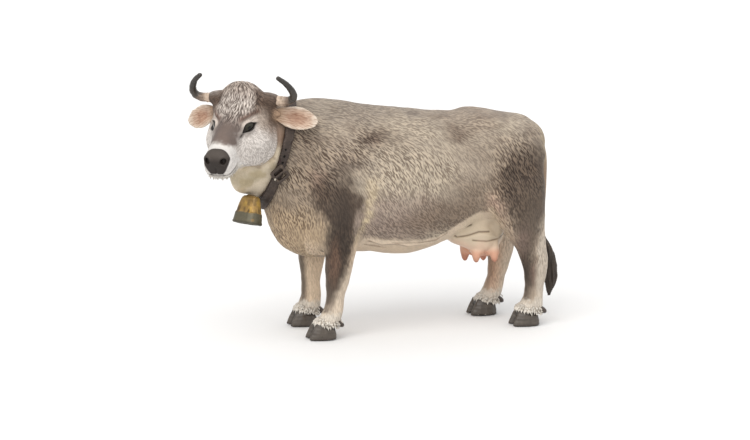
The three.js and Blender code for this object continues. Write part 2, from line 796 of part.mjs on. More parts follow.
function strap() {
  return solidOf(hoop(Array.from({ length: strapSteps }, (_, k) => {
    const { rowLength } = neckFrame(k, seamRow);
    const low = Math.max(0, -Math.sin((2 * Math.PI * k) / strapSteps));
    const halfWidth = (strapWidth + strapFlareWidth * low ** 2) / 2;
    return strapSectionShares.map(([across, up]) => {
      const { point, out } = neckFrame(k, seamRow + (across * halfWidth) / rowLength);
      return point.addScaledVector(out, clearance + up * strapThickness);
    });
  })));
}

// Where the buckle lies round the strap, as a share of the way round from the neck's right side.
const buckleShare = 0.565;

function buckleFrame() {
  const { point, along, out } = neckFrame(Math.round(buckleShare * strapSteps), seamRow);
  point.addScaledVector(out, strapThickness + 2 * clearance);
  const round = new THREE.Vector3().crossVectors(out, along).normalize();
  return new THREE.Matrix4().makeBasis(round.clone().cross(out), round, out).setPosition(point);
}

// A rounded frame with a bar's width all round, and the prong that lies across it, a little thinner.
const prongShare = 0.9;

function buckle() {
  const outline = roundedBox(buckleWidth / 2, buckleLength / 2, buckleBar);
  outline.holes.push(roundedBox(buckleWidth / 2 - buckleBar, buckleLength / 2 - buckleBar, buckleBar / 2));
  const frame = new THREE.ExtrudeGeometry(outline, {
    depth: buckleThickness,
    bevelEnabled: false,
    curveSegments: buckleCornerSteps,
  });
  const reach = buckleLength - buckleBar;
  const start = new THREE.Vector3(0, -reach / 2, buckleThickness / 2);
  const prong = rod(start, new THREE.Vector3(0, 1, 0), reach, buckleThickness * prongShare);
  return solidOf(frame).add(prong);
}

function roundedBox(halfX, halfY, corner) {
  const outline = new THREE.Shape();
  outline.absarc(halfX - corner, halfY - corner, corner, 0, Math.PI / 2);
  outline.absarc(-halfX + corner, halfY - corner, corner, Math.PI / 2, Math.PI);
  outline.absarc(-halfX + corner, -halfY + corner, corner, Math.PI, 1.5 * Math.PI);
  outline.absarc(halfX - corner, -halfY + corner, corner, 1.5 * Math.PI, 2 * Math.PI);
  return outline;
}

// Bell

// Levels of the bell from its crown to its mouth: how far down, half width and half depth
const bellShares = [
  [0, 0.24, 0.2],
  [0.06, 0.31, 0.29],
  [0.3, 0.37, 0.36],
  [0.6, 0.43, 0.43],
  [0.65, 0.46, 0.46],
  [0.9, 0.49, 0.49],
  [1, 0.5, 0.5],
];
const bellPlaceShares = [-0.6, -0.48, 0.617];
const bellTurn = THREE.MathUtils.degToRad(36);
const bellTilt = THREE.MathUtils.degToRad(16);
const bellSquarePower = 0.6;
const recessTaperShare = 0.9;

function bellRing(halfDepth, halfWidth, z) {
  const squared = (v) => Math.sign(v) * Math.abs(v) ** bellSquarePower;
  return around(bellSides, (angle) => {
    return new THREE.Vector3(halfDepth * squared(Math.cos(angle)), halfWidth * squared(Math.sin(angle)), z);
  });
}

function bell() {
  const body = skin(bellShares.map(([down, width, depth]) => {
    return bellRing(depth * bellDepth, width * bellWidth, -down * bellHeight);
  }));
  const halfDepth = bellDepth / 2 - bellWall;
  const halfWidth = bellWidth / 2 - bellWall;
  const recess = skin([
    bellRing(halfDepth, halfWidth, -bellHeight - bellWall),
    bellRing(halfDepth * recessTaperShare, halfWidth * recessTaperShare, -bellHeight + bellRecess),
  ]);
  const loopRadius = (bellLoop - bellLoopWire) / 2;
  const loop = new THREE.TorusGeometry(loopRadius, bellLoopWire / 2, sweepSides, loopRings);
  return solidOf(body).subtract(solidOf(recess)).add(solidOf(loop));
}

// The pieces, fitted to one another

// For each leg its table, its seat, its breadth, its side, its lean and its bow.
const legPlans = {
  foreleg_left: [foreShares, foreSeatShares, kneeBreadth, LEFT, 0.003, 0],
  foreleg_right: [foreShares, foreSeatShares, kneeBreadth, RIGHT, -0.003, 0.024],
  hindleg_left: [hindShares, hindSeatShares, hockBreadth, LEFT, -0.012, 0],
  hindleg_right: [hindShares, hindSeatShares, hockBreadth, RIGHT, 0.065, 0],
};
const hideSkin = solidOf(trunkSkin());
const legs = {};
const legCutters = [];
for (const [name, [shares, seatShares, breadth, side, lean, bow]] of Object.entries(legPlans)) {
  const shaft = legShaft(shares, breadth, side, lean, bow);
  const shoulder = hideSkin.intersect(legSeat(seatShares, side, 0));
  legs[name] = join([shaft, shoulder, ...foot(footPlace(shares, side, lean))]);
  legCutters.push(swollen(shaft), legSeat(seatShares, side, clearance));
}
const tail = tailRod();
const udder = largest(cut(udderBag(), legCutters));
const spigot = rod(seamCentre, seamNormal, spigotLength, spigotDiameter);
const socket = rod(
  seamCentre.clone().addScaledVector(seamNormal, -clearance),
  seamNormal,
  spigotLength + 2 * clearance,
  spigotDiameter + 2 * clearance,
);
const trunk = largest(cut(hideSkin, [...legCutters, swollen(tail), swollen(udder)]).add(spigot));

// The throat starts one clearance ahead of the seam.
function throat() {
  const rowLength = trunkShapes(1, seamRow + 1, seamRow + 1)[0].topX - seamShape.topX;
  const from = seamRow + clearance / Math.abs(rowLength);
  const shapes = trunkShapes(neckRings, from, trunkShares.length - 1);
  return skin(shapes.map((shape) => section(shape, trunkSides)));
}

const horns = { horn_left: horn(LEFT), horn_right: horn(RIGHT) };
const ears = { ear_left: ear(LEFT), ear_right: ear(RIGHT) };
const guests = [...Object.values(horns), ...Object.values(ears)].map(swollen);
const head = largest(cut(
  join([solidOf(throat(), toHead), solidOf(skull()), eyeball(LEFT), eyeball(RIGHT)]),
  [...guests, mouth(), nostril(LEFT), nostril(RIGHT), solidOf(geometryOf(socket), toHead)],
));

function mesh(name, solid, colour, roughness, metalness = 0) {
  const material = new THREE.MeshStandardMaterial({ color: colour, roughness, metalness, flatShading: true });
  const made = new THREE.Mesh(geometryOf(solid), material);
  made.name = name;
  return made;
}

const cow = new THREE.Group();
cow.add(mesh("trunk", trunk, 0xa3968a, 0.75));
for (const [name, solid] of Object.entries(legs)) cow.add(mesh(name, solid, 0x8a7c70, 0.75));
cow.add(mesh("udder", udder, 0xcdbba0, 0.6));
cow.add(mesh("tail", tail, 0x4a443d, 0.7));
cow.add(mesh("collar", strap(), 0x463b38, 0.6));
const buckleMesh = mesh("buckle", buckle(), 0x6f675c, 0.4, 0.3);
buckleMesh.applyMatrix4(buckleFrame());
cow.add(buckleMesh);
const bellMesh = mesh("bell", bell(), 0x9a7a3a, 0.45, 0.3);
bellMesh.position.set(...bodyPlace(...bellPlaceShares));
bellMesh.rotation.set(0, bellTilt, bellTurn, "ZYX");
cow.add(bellMesh);
headGroup.add(mesh("head", head, 0xb9afa6, 0.75));
for (const [name, solid] of Object.entries(horns)) headGroup.add(mesh(name, solid, 0x4b463f, 0.5));
for (const [name, solid] of Object.entries(ears)) headGroup.add(mesh(name, solid, 0xd2b8a2, 0.7));
cow.add(headGroup);

// The part's origin is on the ground, under the middle of its outer box.
const box = new THREE.Box3().setFromObject(cow, true);
cow.position.set(-(box.min.x + box.max.x) / 2, -(box.min.y + box.max.y) / 2, -box.min.z);
cow.updateMatrixWorld(true);
const part = new THREE.Group();
part.add(cow);

export default part;
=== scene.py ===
import math

import bpy
import numpy as np
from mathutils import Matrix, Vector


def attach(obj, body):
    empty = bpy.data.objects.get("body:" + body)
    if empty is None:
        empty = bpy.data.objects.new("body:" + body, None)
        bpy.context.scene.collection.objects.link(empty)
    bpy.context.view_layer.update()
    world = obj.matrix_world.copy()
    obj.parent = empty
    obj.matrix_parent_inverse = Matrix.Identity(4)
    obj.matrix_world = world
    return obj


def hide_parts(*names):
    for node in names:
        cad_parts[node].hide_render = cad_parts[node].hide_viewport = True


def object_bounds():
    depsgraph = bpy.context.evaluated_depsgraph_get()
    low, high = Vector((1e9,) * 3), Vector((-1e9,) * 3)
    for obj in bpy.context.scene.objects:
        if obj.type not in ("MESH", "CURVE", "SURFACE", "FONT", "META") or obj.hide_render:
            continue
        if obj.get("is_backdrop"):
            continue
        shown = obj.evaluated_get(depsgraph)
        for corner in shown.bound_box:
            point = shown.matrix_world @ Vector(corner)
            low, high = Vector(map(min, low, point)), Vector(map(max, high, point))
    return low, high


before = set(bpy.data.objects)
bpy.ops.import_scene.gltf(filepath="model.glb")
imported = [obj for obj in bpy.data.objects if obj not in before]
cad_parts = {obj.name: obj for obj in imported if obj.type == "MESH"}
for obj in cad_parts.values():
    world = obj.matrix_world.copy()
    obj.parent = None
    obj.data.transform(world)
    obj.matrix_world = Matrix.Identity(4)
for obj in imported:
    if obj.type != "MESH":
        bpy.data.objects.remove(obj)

import openvdb
from mathutils import Vector

cad_low, cad_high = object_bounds()

# Every length below is in millimetres in the part's own frame; MM takes it to metres.
MM = 0.001
TURN = 2 * math.pi
HIDE_VOXEL = 0.3
HEAD_VOXEL = 0.18
TAIL_VOXEL = 0.18
FINE_VOXEL = 0.15
BUCKLE_VOXEL = 0.11

# The body's middle plane, and the head's own frame: its middle between the eyes, then the ways
# forward along the nose, across to the right ear, and up out of the brow.
MID_Y = 5.376
HEAD_MIDDLE = np.array([-55.052, -10.624, 74.842])
FORWARD = np.array([-0.514, -0.682, -0.521])
ACROSS = np.array([-0.799, 0.602, 0.0])
UPWARD = np.array([-0.314, -0.416, 0.854])

LEGS = ("foreleg_left", "foreleg_right", "hindleg_left", "hindleg_right")
# The left side is -1 and the right is 1, in the head's frame as on the body
SIDES = (-1, 1)


# Numbers

# How much brighter than its own paint a piece looks under the studio's lights
LIGHT = 1.5


def rgb(red, green, blue):
    """A colour seen on screen, 0 to 255, as the linear paint that gives it under the studio's lights."""
    c = np.array([red, green, blue], float) / 255
    return np.where(c <= 0.04045, c / 12.92, ((c + 0.055) / 1.055) ** 2.4) / LIGHT


def ramp(start, end, v):
    """0 at the start and 1 at the end, eased at both; the end may lie below the start."""
    t = np.clip((v - start) / (end - start), 0, 1)
    return t * t * (3 - 2 * t)


def hump(gap, width):
    """1 where the gap is nothing, falling off evenly on both sides over the width."""
    return np.exp(-(gap / width) ** 2)


def oval_hump(a, wide, b, tall):
    """As hump, over two measures at once."""
    return np.exp(-((a / wide) ** 2 + (b / tall) ** 2))


def patch(a, b, middle, reach, soft=0.45):
    """1 inside an oval of two measures and 0 outside it."""
    d = np.sqrt(((a - middle[0]) / reach[0]) ** 2 + ((b - middle[1]) / reach[1]) ** 2)
    return ramp(1 + soft, 1 - soft, d)


def half_turn(angle):
    """An angle brought to within half a turn of nothing."""
    return (angle + math.pi) % TURN - math.pi


def straight(v):
    """One vector at length 1."""
    return v / np.linalg.norm(v)


def unit(v):
    """Many vectors, each at length 1."""
    return v / np.maximum(np.linalg.norm(v, axis=-1, keepdims=True), 1e-9)


def laid_flat(ways, normals):
    """Ways turned into the surface, at length 1."""
    return unit(ways - normals * (ways * normals).sum(1, keepdims=True))


LATTICE = 64
lattices = {}


def noise(p, seed):
    """Smooth random values near -1 to 1 that change over one unit of p."""
    if seed not in lattices:
        lattices[seed] = np.random.default_rng(seed).standard_normal(LATTICE ** 3).astype(np.float32)
    table = lattices[seed]
    cell = np.floor(p).astype(np.int64)
    part = (p - cell).astype(np.float32)
    part = part * part * part * (part * (part * 6 - 15) + 10)
    low = cell & (LATTICE - 1)
    high = (cell + 1) & (LATTICE - 1)
    total = np.zeros(len(p), np.float32)
    for corner in range(8):
        picks = [(corner >> axis) & 1 for axis in range(3)]
        index = [high[:, axis] if picks[axis] else low[:, axis] for axis in range(3)]
        weight = np.ones(len(p), np.float32)
        for axis in range(3):
            weight = weight * (part[:, axis] if picks[axis] else 1 - part[:, axis])
        total += weight * table[(index[0] * LATTICE + index[1]) * LATTICE + index[2]]
    return total


def streaks(p, normals, lie, width, length, seed):
    """Random ridges and grooves drawn out along the way the hair lies."""
    steps = 6
    stride = length / 2 / steps
    total = noise(p / width, seed)
    weights = 1.0
    for side in (1, -1):
        q = p.copy()
        for k in range(steps):
            q = q + side * stride * laid_flat(lie(q), normals)
            weight = math.cos(math.pi / 2 * (k + 1) / (steps + 1)) ** 2
            total = total + weight * noise(q / width, seed)
            weights += weight
    total = total / weights
    return total / max(float(total.std()), 1e-6)


def nearest_on_line(p, line):
    """How far each point is from a line of points, and how far along it that is, in mm."""
    line = np.array(line, float)
    best = np.full(len(p), 1e9)
    along = np.zeros(len(p))
    done = 0.0
    for a, b in zip(line[:-1], line[1:]):
        way = b - a
        size = float(np.linalg.norm(way))
        t = np.clip(((p - a) @ way) / size ** 2, 0, 1)
        gap = np.linalg.norm(p - (a + t[:, None] * way), axis=1)
        closer = gap < best
        best[closer] = gap[closer]
        along[closer] = done + t[closer] * size
        done += size
    return best, along


def side_gap(x, z, line):
    """How far each point is from a line of places along and up, seen from the cow's side."""
    return nearest_on_line(np.stack([x, 0 * x, z], 1), [(a, 0, b) for a, b in line])[0]


def pushed_out(p, normals, height):
    """Points moved along their normals."""
    return p + normals * height[:, None]


def lifts(p, forms):
    """How far rounded forms lift each point: their places, reaches and rises."""
    height = np.zeros(len(p))
    for place, reach, rise in forms:
        height += rise * np.exp(-(((p - place) / reach) ** 2).sum(1))
    return height


# Volumes: a block of voxels that hold how far each lies outside a piece

class Block:
    def __init__(self, low, high, voxel):
        self.voxel = voxel
        self.first = np.floor(np.array(low) / voxel).astype(int)
        self.shape = tuple(int(n) for n in np.ceil(np.array(high) / voxel).astype(int) - self.first + 1)

    def axis(self, k):
        values = (self.first[k] + np.arange(self.shape[k])) * self.voxel
        return values.astype(np.float32).reshape([-1 if i == k else 1 for i in range(3)])

    def points(self):
        return self.axis(0), self.axis(1), self.axis(2)


def triangles_of(node):
    """The points of a CAD node in mm, and its triangles."""
    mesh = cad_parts[node].data
    mesh.calc_loop_triangles()
    co = np.empty(len(mesh.vertices) * 3, np.float32)
    mesh.vertices.foreach_get("co", co)
    tri = np.empty(len(mesh.loop_triangles) * 3, np.int32)
    mesh.loop_triangles.foreach_get("vertices", tri)
    return co.reshape(-1, 3) / MM, tri.reshape(-1, 3)


def box_of(nodes, margin):
    points = np.concatenate([triangles_of(n)[0] for n in nodes])
    return points.min(0) - margin, points.max(0) + margin


def distance(block, node, band):
    """How far each voxel lies outside a CAD node, up to the band's width."""
    points, triangles = triangles_of(node)
    grid = openvdb.FloatGrid.createLevelSetFromPolygons(
        points.astype(np.float32), triangles=triangles.astype(np.uint32),
        transform=openvdb.createLinearTransform(voxelSize=block.voxel), halfWidth=band / block.voxel,
    )
    out = np.empty(block.shape, np.float32)
    grid.copyToArray(out, ijk=tuple(int(v) for v in block.first))
    return out


def blend_min(a, b, reach):
    """Two volumes joined, with a rounded fold where they meet."""
    h = np.maximum(reach - np.abs(a - b), 0) / reach
    return np.minimum(a, b) - h * h * (reach / 4)


def blur(field, sigma):
    radius = max(1, int(math.ceil(2.6 * sigma)))
    offsets = np.arange(-radius, radius + 1)
    kernel = np.exp(-0.5 * (offsets / sigma) ** 2)
    kernel /= kernel.sum()
    for axis in range(3):
        pad = [(radius, radius) if i == axis else (0, 0) for i in range(3)]
        wide = np.pad(field, pad, mode="edge")
        total = np.zeros_like(field)
        for k, weight in enumerate(kernel):
            cut = [slice(None)] * 3
            cut[axis] = slice(k, k + field.shape[axis])
            total += np.float32(weight) * wide[tuple(cut)]
        field = total
    return field


def surface(block, field):
    """The skin of a volume as points and quads that face outward."""
    field = np.ascontiguousarray(field, np.float32)
    grid = openvdb.FloatGrid(float(field.max()))
    grid.copyFromArray(field, ijk=tuple(int(v) for v in block.first), tolerance=0.0)
    grid.transform = openvdb.createLinearTransform(voxelSize=block.voxel)
    points, quads = grid.convertToQuads(isovalue=0.0)
    points = np.array(points, np.float64)
    quads = np.array(quads, np.int64)
    a, b, c, d = (points[quads[:, k]] for k in range(4))
    inside = ((a + b + c + d) / 4 * np.cross(c - a, d - b)).sum()
    if inside < 0:
        quads = quads[:, ::-1].copy()
    return points, quads


def largest_part(points, quads):
    """Keeps the biggest connected sheet, so that no speck or inner bubble stays."""
    label = np.arange(len(points))
    while True:
        low = label[quads].min(1)
        new = label.copy()
        for k in range(4):
            np.minimum.at(new, quads[:, k], low)
        new = new[new]
        if (new == label).all():
            break
        label = new
    keep = label == np.bincount(label).argmax()
    order = np.cumsum(keep) - 1
    quads = quads[keep[quads[:, 0]]]
    return points[keep], order[quads]


def gathered(quads, values, count):
    """What the faces round each point bring to it, summed."""
    out = np.zeros((count, 3))
    for axis in range(3):
        for k in range(4):
            out[:, axis] += np.bincount(quads[:, k], weights=values[:, axis], minlength=count)
    return out


def normals_of(points, quads):
    a, b, c, d = (points[quads[:, k]] for k in range(4))
    return unit(gathered(quads, np.cross(c - a, d - b), len(points)))


def relax(points, quads, rounds=2, share=0.5):
    """Evens out the voxel steps left in the points."""
    count = np.maximum(np.bincount(quads.ravel(), minlength=len(points)).astype(float), 1)
    for _ in range(rounds):
        total = gathered(quads, points[quads].mean(1), len(points))
        points = points + share * (total / count[:, None] - points)
    return points


def smooth_piece(node, voxel, sigma, margin=1.5, band=1.5):
    """The skin of one CAD node with its facets rounded off."""
    low, high = box_of((node,), margin)
    block = Block(low, high, voxel)
    field = blur(distance(block, node, band), sigma / voxel)
    points, quads = largest_part(*surface(block, field))
    points = relax(points, quads, 1)
    return points, quads, normals_of(points, quads)


def ring_faces(start, rings, sides):
    """Quads between rings of points that follow one another."""
    faces = []
    for i in range(rings):
        near, far = start + i * sides, start + (i + 1) * sides
        for j in range(sides):
            k = (j + 1) % sides
            faces.append((near + j, far + j, far + k, near + k))
    return faces


def ellipsoid(half, rings, sides):
    points = []
    for i in range(rings + 1):
        angle = math.pi * i / rings
        for j in range(sides):
            turn = TURN * j / sides
            reach = math.sin(angle)
            points.append((math.cos(angle), reach * math.cos(turn), reach * math.sin(turn)))
    return np.array(points) * half, np.array(ring_faces(0, rings, sides))


# Colour, laid on point by point

class Paint:
    def __init__(self, points, tone):
        self.colour = np.tile(rgb(*tone), (len(points), 1))

    def over(self, mask, tone, strength=1.0):
        share = np.clip(mask * strength, 0, 1)[:, None]
        self.colour += (rgb(*tone) - self.colour) * share

    def spots(self, a, b, rows, share=1):
        """Soft ovals over two measures: their middle, reach, softness, tone and strength."""
        for at_a, at_b, wide, tall, soft, tone, strength in rows:
            self.over(patch(a, b, (at_a, at_b), (wide, tall), soft) * share, tone, strength)

    def shade(self, factor):
        self.colour *= factor[:, None]


def make(name, points, quads, material, replaces=(), paint=None, relief=None, lie=None, hair=None):
    """A mesh of the object, from points in mm, with its colours and how its hair lies and shows."""
    quads = np.asarray(quads)
    sides = quads.shape[1]
    mesh = bpy.data.meshes.new(name)
    mesh.vertices.add(len(points))
    low = np.array(cad_low) / MM
    high = np.array(cad_high) / MM
    mesh.vertices.foreach_set("co", (np.clip(points, low, high) * MM).astype(np.float32).ravel())
    mesh.loops.add(quads.size)
    mesh.loops.foreach_set("vertex_index", quads.astype(np.int32).ravel())
    mesh.polygons.add(len(quads))
    mesh.polygons.foreach_set("loop_start", (np.arange(len(quads)) * sides).astype(np.int32))
    mesh.update(calc_edges=True)
    mesh.validate()
    mesh.shade_smooth()
    if paint is not None:
        layer = mesh.color_attributes.new(name="paint", type="FLOAT_COLOR", domain="POINT")
        rgba = np.ones((len(points), 4), np.float32)
        rgba[:, :3] = np.clip(paint, 0, 1)
        layer.data.foreach_set("color", rgba.ravel())
    given = (
        ("relief", "FLOAT", "value", relief), ("lie", "FLOAT_VECTOR", "vector", lie),
        ("hair", "FLOAT", "value", hair),
    )
    for key, kind, field, values in given:
        if values is not None:
            layer = mesh.attributes.new(key, kind, "POINT")
            layer.data.foreach_set(field, values.astype(np.float32).ravel())
    made = bpy.data.objects.new(name, mesh)
    bpy.context.scene.collection.objects.link(made)
    made.data.materials.append(material)
    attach(made, "root")
    if replaces:
        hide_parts(*replaces)
    return made


# Materials

# How many samples on each side draw a hair stroke out, and how far their mean swings from one half
STROKE_STEPS = 4
STROKE_SWING = 0.085
# Where noise from a texture mostly lies
NOISE_LOW, NOISE_HIGH = 0.3, 0.7


def material_of(name, roughness, grain=0.06, grain_size=0.4, mottle=0.05, bump=0.03, relief_shade=0.0,
                relief_tint=(0.75, 0.68, 0.6), colour=None, metallic=0.0, rough_swing=0.08, shine=0.3,
                strokes=None):
    """Paint from the piece's own points, with fine grain, mottling and worn ridges worked in.

    Strokes of hair are given by their width, step and depth and by the tints of grooves and ridges.
    """
    made = bpy.data.materials.new(name)
    made.use_nodes = True
    nodes, links = made.node_tree.nodes, made.node_tree.links
    nodes.clear()

    def node(kind, inputs, **settings):
        """A shader node, with each input a number, a colour or another node's output."""
        added = nodes.new("ShaderNode" + kind)
        for setting, value in settings.items():
            setattr(added, setting, value)
        for socket, value in inputs.items():
            if isinstance(value, bpy.types.NodeSocket):
                links.new(value, added.inputs[socket])
            else:
                added.inputs[socket].default_value = value
        return added.outputs

    def noise_of(vector, size_mm, detail):
        return node("TexNoise", {"Vector": vector, "Scale": 1 / (size_mm * MM), "Detail": detail})["Fac"]

    def mapped(source, low, high, to_low, to_high):
        return node("MapRange", {"Value": source, "From Min": low, "From Max": high, "To Min": to_low,
                                 "To Max": to_high})["Result"]

    def mixed(kind, factor, first, second):
        return node("Mix", {0: factor, 6: first, 7: second}, data_type="RGBA", blend_type=kind)[2]

    def maths(operation, *values):
        return node("Math", dict(enumerate(values)), operation=operation)[0]

    def attribute(key, output):
        return node("Attribute", {}, attribute_name=key)[output]

    place = node("TexCoord", {})["Object"]
    if colour is None:
        base = attribute("paint", "Color")
    else:
        base = node("RGB", {})[0]
        base.default_value = (*colour, 1)
    fine = noise_of(place, grain_size, 3)
    broad = noise_of(place, 5.0, 4)
    both = maths("MULTIPLY", mapped(fine, NOISE_LOW, NOISE_HIGH, 1 - grain, 1 + grain),
                 mapped(broad, NOISE_LOW, NOISE_HIGH, 1 - mottle, 1 + mottle))
    grey = node("CombineColor", {"Red": both, "Green": both, "Blue": both})["Color"]
    base = mixed("MULTIPLY", 1.0, base, grey)
    if relief_shade:
        relief = attribute("relief", "Fac")
        base = mixed("MULTIPLY", mapped(relief, -0.2, -1.6, 0.0, relief_shade), base, (*relief_tint, 1))
        raised = mapped(relief, 0.3, 1.8, 0.0, relief_shade * 0.55)
        base = mixed("SOFT_LIGHT", raised, base, (0.95, 0.92, 0.86, 1))
    if strokes:
        width, step, depth, groove_tint, ridge_tint = strokes
        lie = attribute("lie", "Vector")
        hair = attribute("hair", "Fac")
        total, weights = 0.0, 0.0
        for k in range(-STROKE_STEPS, STROKE_STEPS + 1):
            shift = node("VectorMath", {0: lie, "Scale": k * step * MM}, operation="SCALE")["Vector"]
            moved = node("VectorMath", {0: place, 1: shift}, operation="ADD")["Vector"]
            weight = math.cos(math.pi / 2 * k / (STROKE_STEPS + 1))
            weights += weight
            total = maths("MULTIPLY_ADD", noise_of(moved, width, 0), weight, total)
        height = mapped(total, weights * (0.5 - STROKE_SWING), weights * (0.5 + STROKE_SWING), -1, 1)
        groove = maths("MULTIPLY", mapped(height, 0.05, -0.75, 0, 1), hair)
        base = mixed("MULTIPLY", groove, base, (*groove_tint, 1))
        ridge = maths("MULTIPLY", mapped(height, 0.0, 0.8, 0, 1), hair)
        base = mixed("MULTIPLY", ridge, base, (*ridge_tint, 1))
    shader = {"Base Color": base, "Metallic": metallic, "Specular IOR Level": shine, "Roughness": roughness}
    if rough_swing:
        shader["Roughness"] = mapped(broad, NOISE_LOW, NOISE_HIGH, max(roughness - rough_swing, 0),
                                     min(roughness + rough_swing, 1))
    if bump:
        shader["Normal"] = node("Bump", {"Strength": 0.6, "Distance": bump * MM, "Height": fine})["Normal"]
        if strokes:
            coat_bump = {"Strength": 1.0, "Distance": depth * MM, "Height": maths("MULTIPLY", height, hair)}
            shader["Normal"] = node("Bump", {**coat_bump, "Normal": shader["Normal"]})["Normal"]
    node("OutputMaterial", {"Surface": node("BsdfPrincipled", shader)["BSDF"]})
    return made


HIDE_PAINT = material_of("painted hide", 0.6,
                         strokes=(0.42, 0.22, 0.14, (0.34, 0.28, 0.24), (1.5, 1.46, 1.4)))
HEAD_PAINT = material_of("painted face", 0.58, grain_size=0.3, relief_shade=0.5,
                         relief_tint=(0.5, 0.43, 0.4),
                         strokes=(0.34, 0.24, 0.11, (0.3, 0.25, 0.22), (1.75, 1.75, 1.75)))
UDDER_PAINT = material_of("painted udder", 0.42, grain=0.03, mottle=0.04, bump=0.015, relief_shade=0.9,
                          relief_tint=(0.45, 0.36, 0.28))
TAIL_PAINT = material_of("painted tail", 0.5, relief_shade=0.85, relief_tint=(0.4, 0.36, 0.32))
HORN_PAINT = material_of("painted horn", 0.34, bump=0.02, relief_shade=0.4, shine=0.5)
HOOF_PAINT = material_of("painted hoof", 0.34, bump=0.02, relief_shade=0.4, shine=0.45)
EAR_PAINT = material_of("painted ear", 0.55, grain=0.05, grain_size=0.3, relief_shade=0.25,
                        relief_tint=(0.7, 0.56, 0.46),
                        strokes=(0.3, 0.26, 0.06, (0.72, 0.6, 0.52), (1.16, 1.15, 1.12)))
STRAP_PAINT = material_of("collar leather paint", 0.46, grain=0.14, grain_size=0.3, mottle=0.14, bump=0.05)
BUCKLE_PAINT = material_of("buckle paint", 0.4, grain=0.14, grain_size=0.35, mottle=0.12, bump=0.02)
PIN_PAINT = material_of("bare buckle pin", 0.3, metallic=0.8, colour=rgb(214, 204, 188), grain=0.05)
BELL_PAINT = material_of("bell paint", 0.36, grain=0.12, grain_size=0.6, mottle=0.16, metallic=0.3, shine=0.5)
EYE_PAINT = material_of("glossy eye", 0.2, grain=0, mottle=0, bump=0, rough_swing=0, shine=0.25)
LOCK_PAINT = material_of("white hair locks", 0.6, grain=0.08, grain_size=0.3, bump=0.02)


# How the hair lies on the body: places along and up, and how steeply it falls to the rear there

LIE = [
    (-33, 77, 30), (-31, 66, 48), (-31, 56, 56), (-38, 42, 78), (-30, 34, 86),
    (-16, 79, 16), (-18, 70, 36), (-19, 61, 50), (-17, 48, 72), (-17, 36, 84),
    (8, 78, 10), (6, 70, 30), (6, 60, 54), (6, 48, 60), (6, 38, 40),
    (30, 78, 12), (27, 69, 36), (24, 58, 62), (26, 47, 56), (24, 38, 35),
    (50, 77, 30), (47, 67, 56), (49, 55, 68), (50, 42, 74), (51, 32, 84),
    (-20, 12, 90), (52, 12, 90), (46, 22, 88), (-19, 24, 88),
]
# The blend between those places is even within about the root of this many square mm
LIE_BLEND = 20.0


def body_lie(p):
    total = np.zeros(len(p))
    weights = np.zeros(len(p))
    for x, z, angle in LIE:
        w = 1.0 / (((p[:, 0] - x) ** 2 + (p[:, 2] - z) ** 2) + LIE_BLEND) ** 1.6
        total += w * angle
        weights += w
    angle = np.radians(total / weights + 7 * noise(p / 8.0, 5) + 5 * noise(p / 3.0, 6))
    return np.stack([np.cos(angle), np.zeros(len(p)), -np.sin(angle)], 1)


def facing_out(p, normals):
    """How much each point faces away from the middle plane."""
    return np.where(p[:, 1] < MID_Y, -1.0, 1.0) * normals[:, 1]


# The hide: trunk and legs as one moulded skin, with the tail's and udder's seats filled

HIDE_BAND = 3.0
TAIL_SEAT_LOW = 58.0
# How far the tail's, the udder's and the legs' seats are rounded into the trunk
TAIL_BLEND, UDDER_BLEND, LEG_BLEND = 2.0, 2.2, 1.6
UDDER_X = 35.8
# The region round the udder, where little is rounded up to a greater height: middle and half sizes
REGION_X, REGION_HALF_LONG, REGION_HALF_WIDE = 35.5, 14, 9.5

low, high = box_of(("trunk",) + LEGS, 2.4)
block = Block(low, high, HIDE_VOXEL)
field = distance(block, "trunk", HIDE_BAND)
leg_field = np.full(block.shape, HIDE_BAND, np.float32)
for leg in LEGS:
    one_leg = distance(block, leg, HIDE_BAND)
    leg_field = np.minimum(leg_field, one_leg)
    field = blend_min(field, one_leg, LEG_BLEND)
X, Y, Z = block.points()
field = blend_min(field, np.maximum(distance(block, "tail", HIDE_BAND), TAIL_SEAT_LOW - Z), TAIL_BLEND)
field = blend_min(field, distance(block, "udder", HIDE_BAND), UDDER_BLEND)
# Rounded well on the body, and only a little at the feet
soft = blur(field, 1.25 / HIDE_VOXEL)
firm = blur(field, 0.5 / HIDE_VOXEL)
beside_udder = (np.abs(X - REGION_X) < REGION_HALF_LONG) & (np.abs(Y - MID_Y) < REGION_HALF_WIDE)
share = ramp(22.0, 29.0, Z - np.where(beside_udder, 7.0, 0.0))
field = firm + (soft - firm) * share
points, quads = largest_part(*surface(block, field))
points = relax(points, quads)
normals = normals_of(points, quads)
cells = np.clip(np.round(points / HIDE_VOXEL).astype(int) - block.first, 0, np.array(block.shape) - 1)
leg_gap = leg_field[cells[:, 0], cells[:, 1], cells[:, 2]]
del soft, firm, leg_field


# Muscles of the hide: place, reach and rise on both sides, out from the middle plane
BODY_FORMS = [
    ((58.5, 0, 73.5), (10, 15, 9), 2.8),
    ((60.5, 12, 48), (4.5, 8, 16), -2.2),
    ((4, 0, 26), (13, 13, 5), 1.3),
    ((36, 0, 26.0), (9, 8, 3.2), 0.75),
    ((-17, 15.5, 66), (5, 6, 9), 0.5),
    ((-12.5, 17, 58), (3.0, 6, 7), -0.45),
    ((-18, 17, 52), (6, 6, 6), 0.45),
    ((-24, 13, 57), (3.5, 5, 4.5), 0.45),
    ((-33, 11, 60), (3.5, 6, 8), -0.3),
    ((33, 16, 62), (5, 6, 5.5), -0.35),
    ((44, 16, 52), (6, 6, 9), 0.4),
    ((36, 15, 46), (2.6, 5, 5.5), 0.45),
    ((57, 12, 60), (4, 6, 7), 0.3),
    ((25.5, 14, 74), (4, 4, 3), 0.35),
    ((-16, 14, 36), (4, 5, 5), 0.3),
    ((50, 14, 36), (4, 5, 4), 0.25),
]
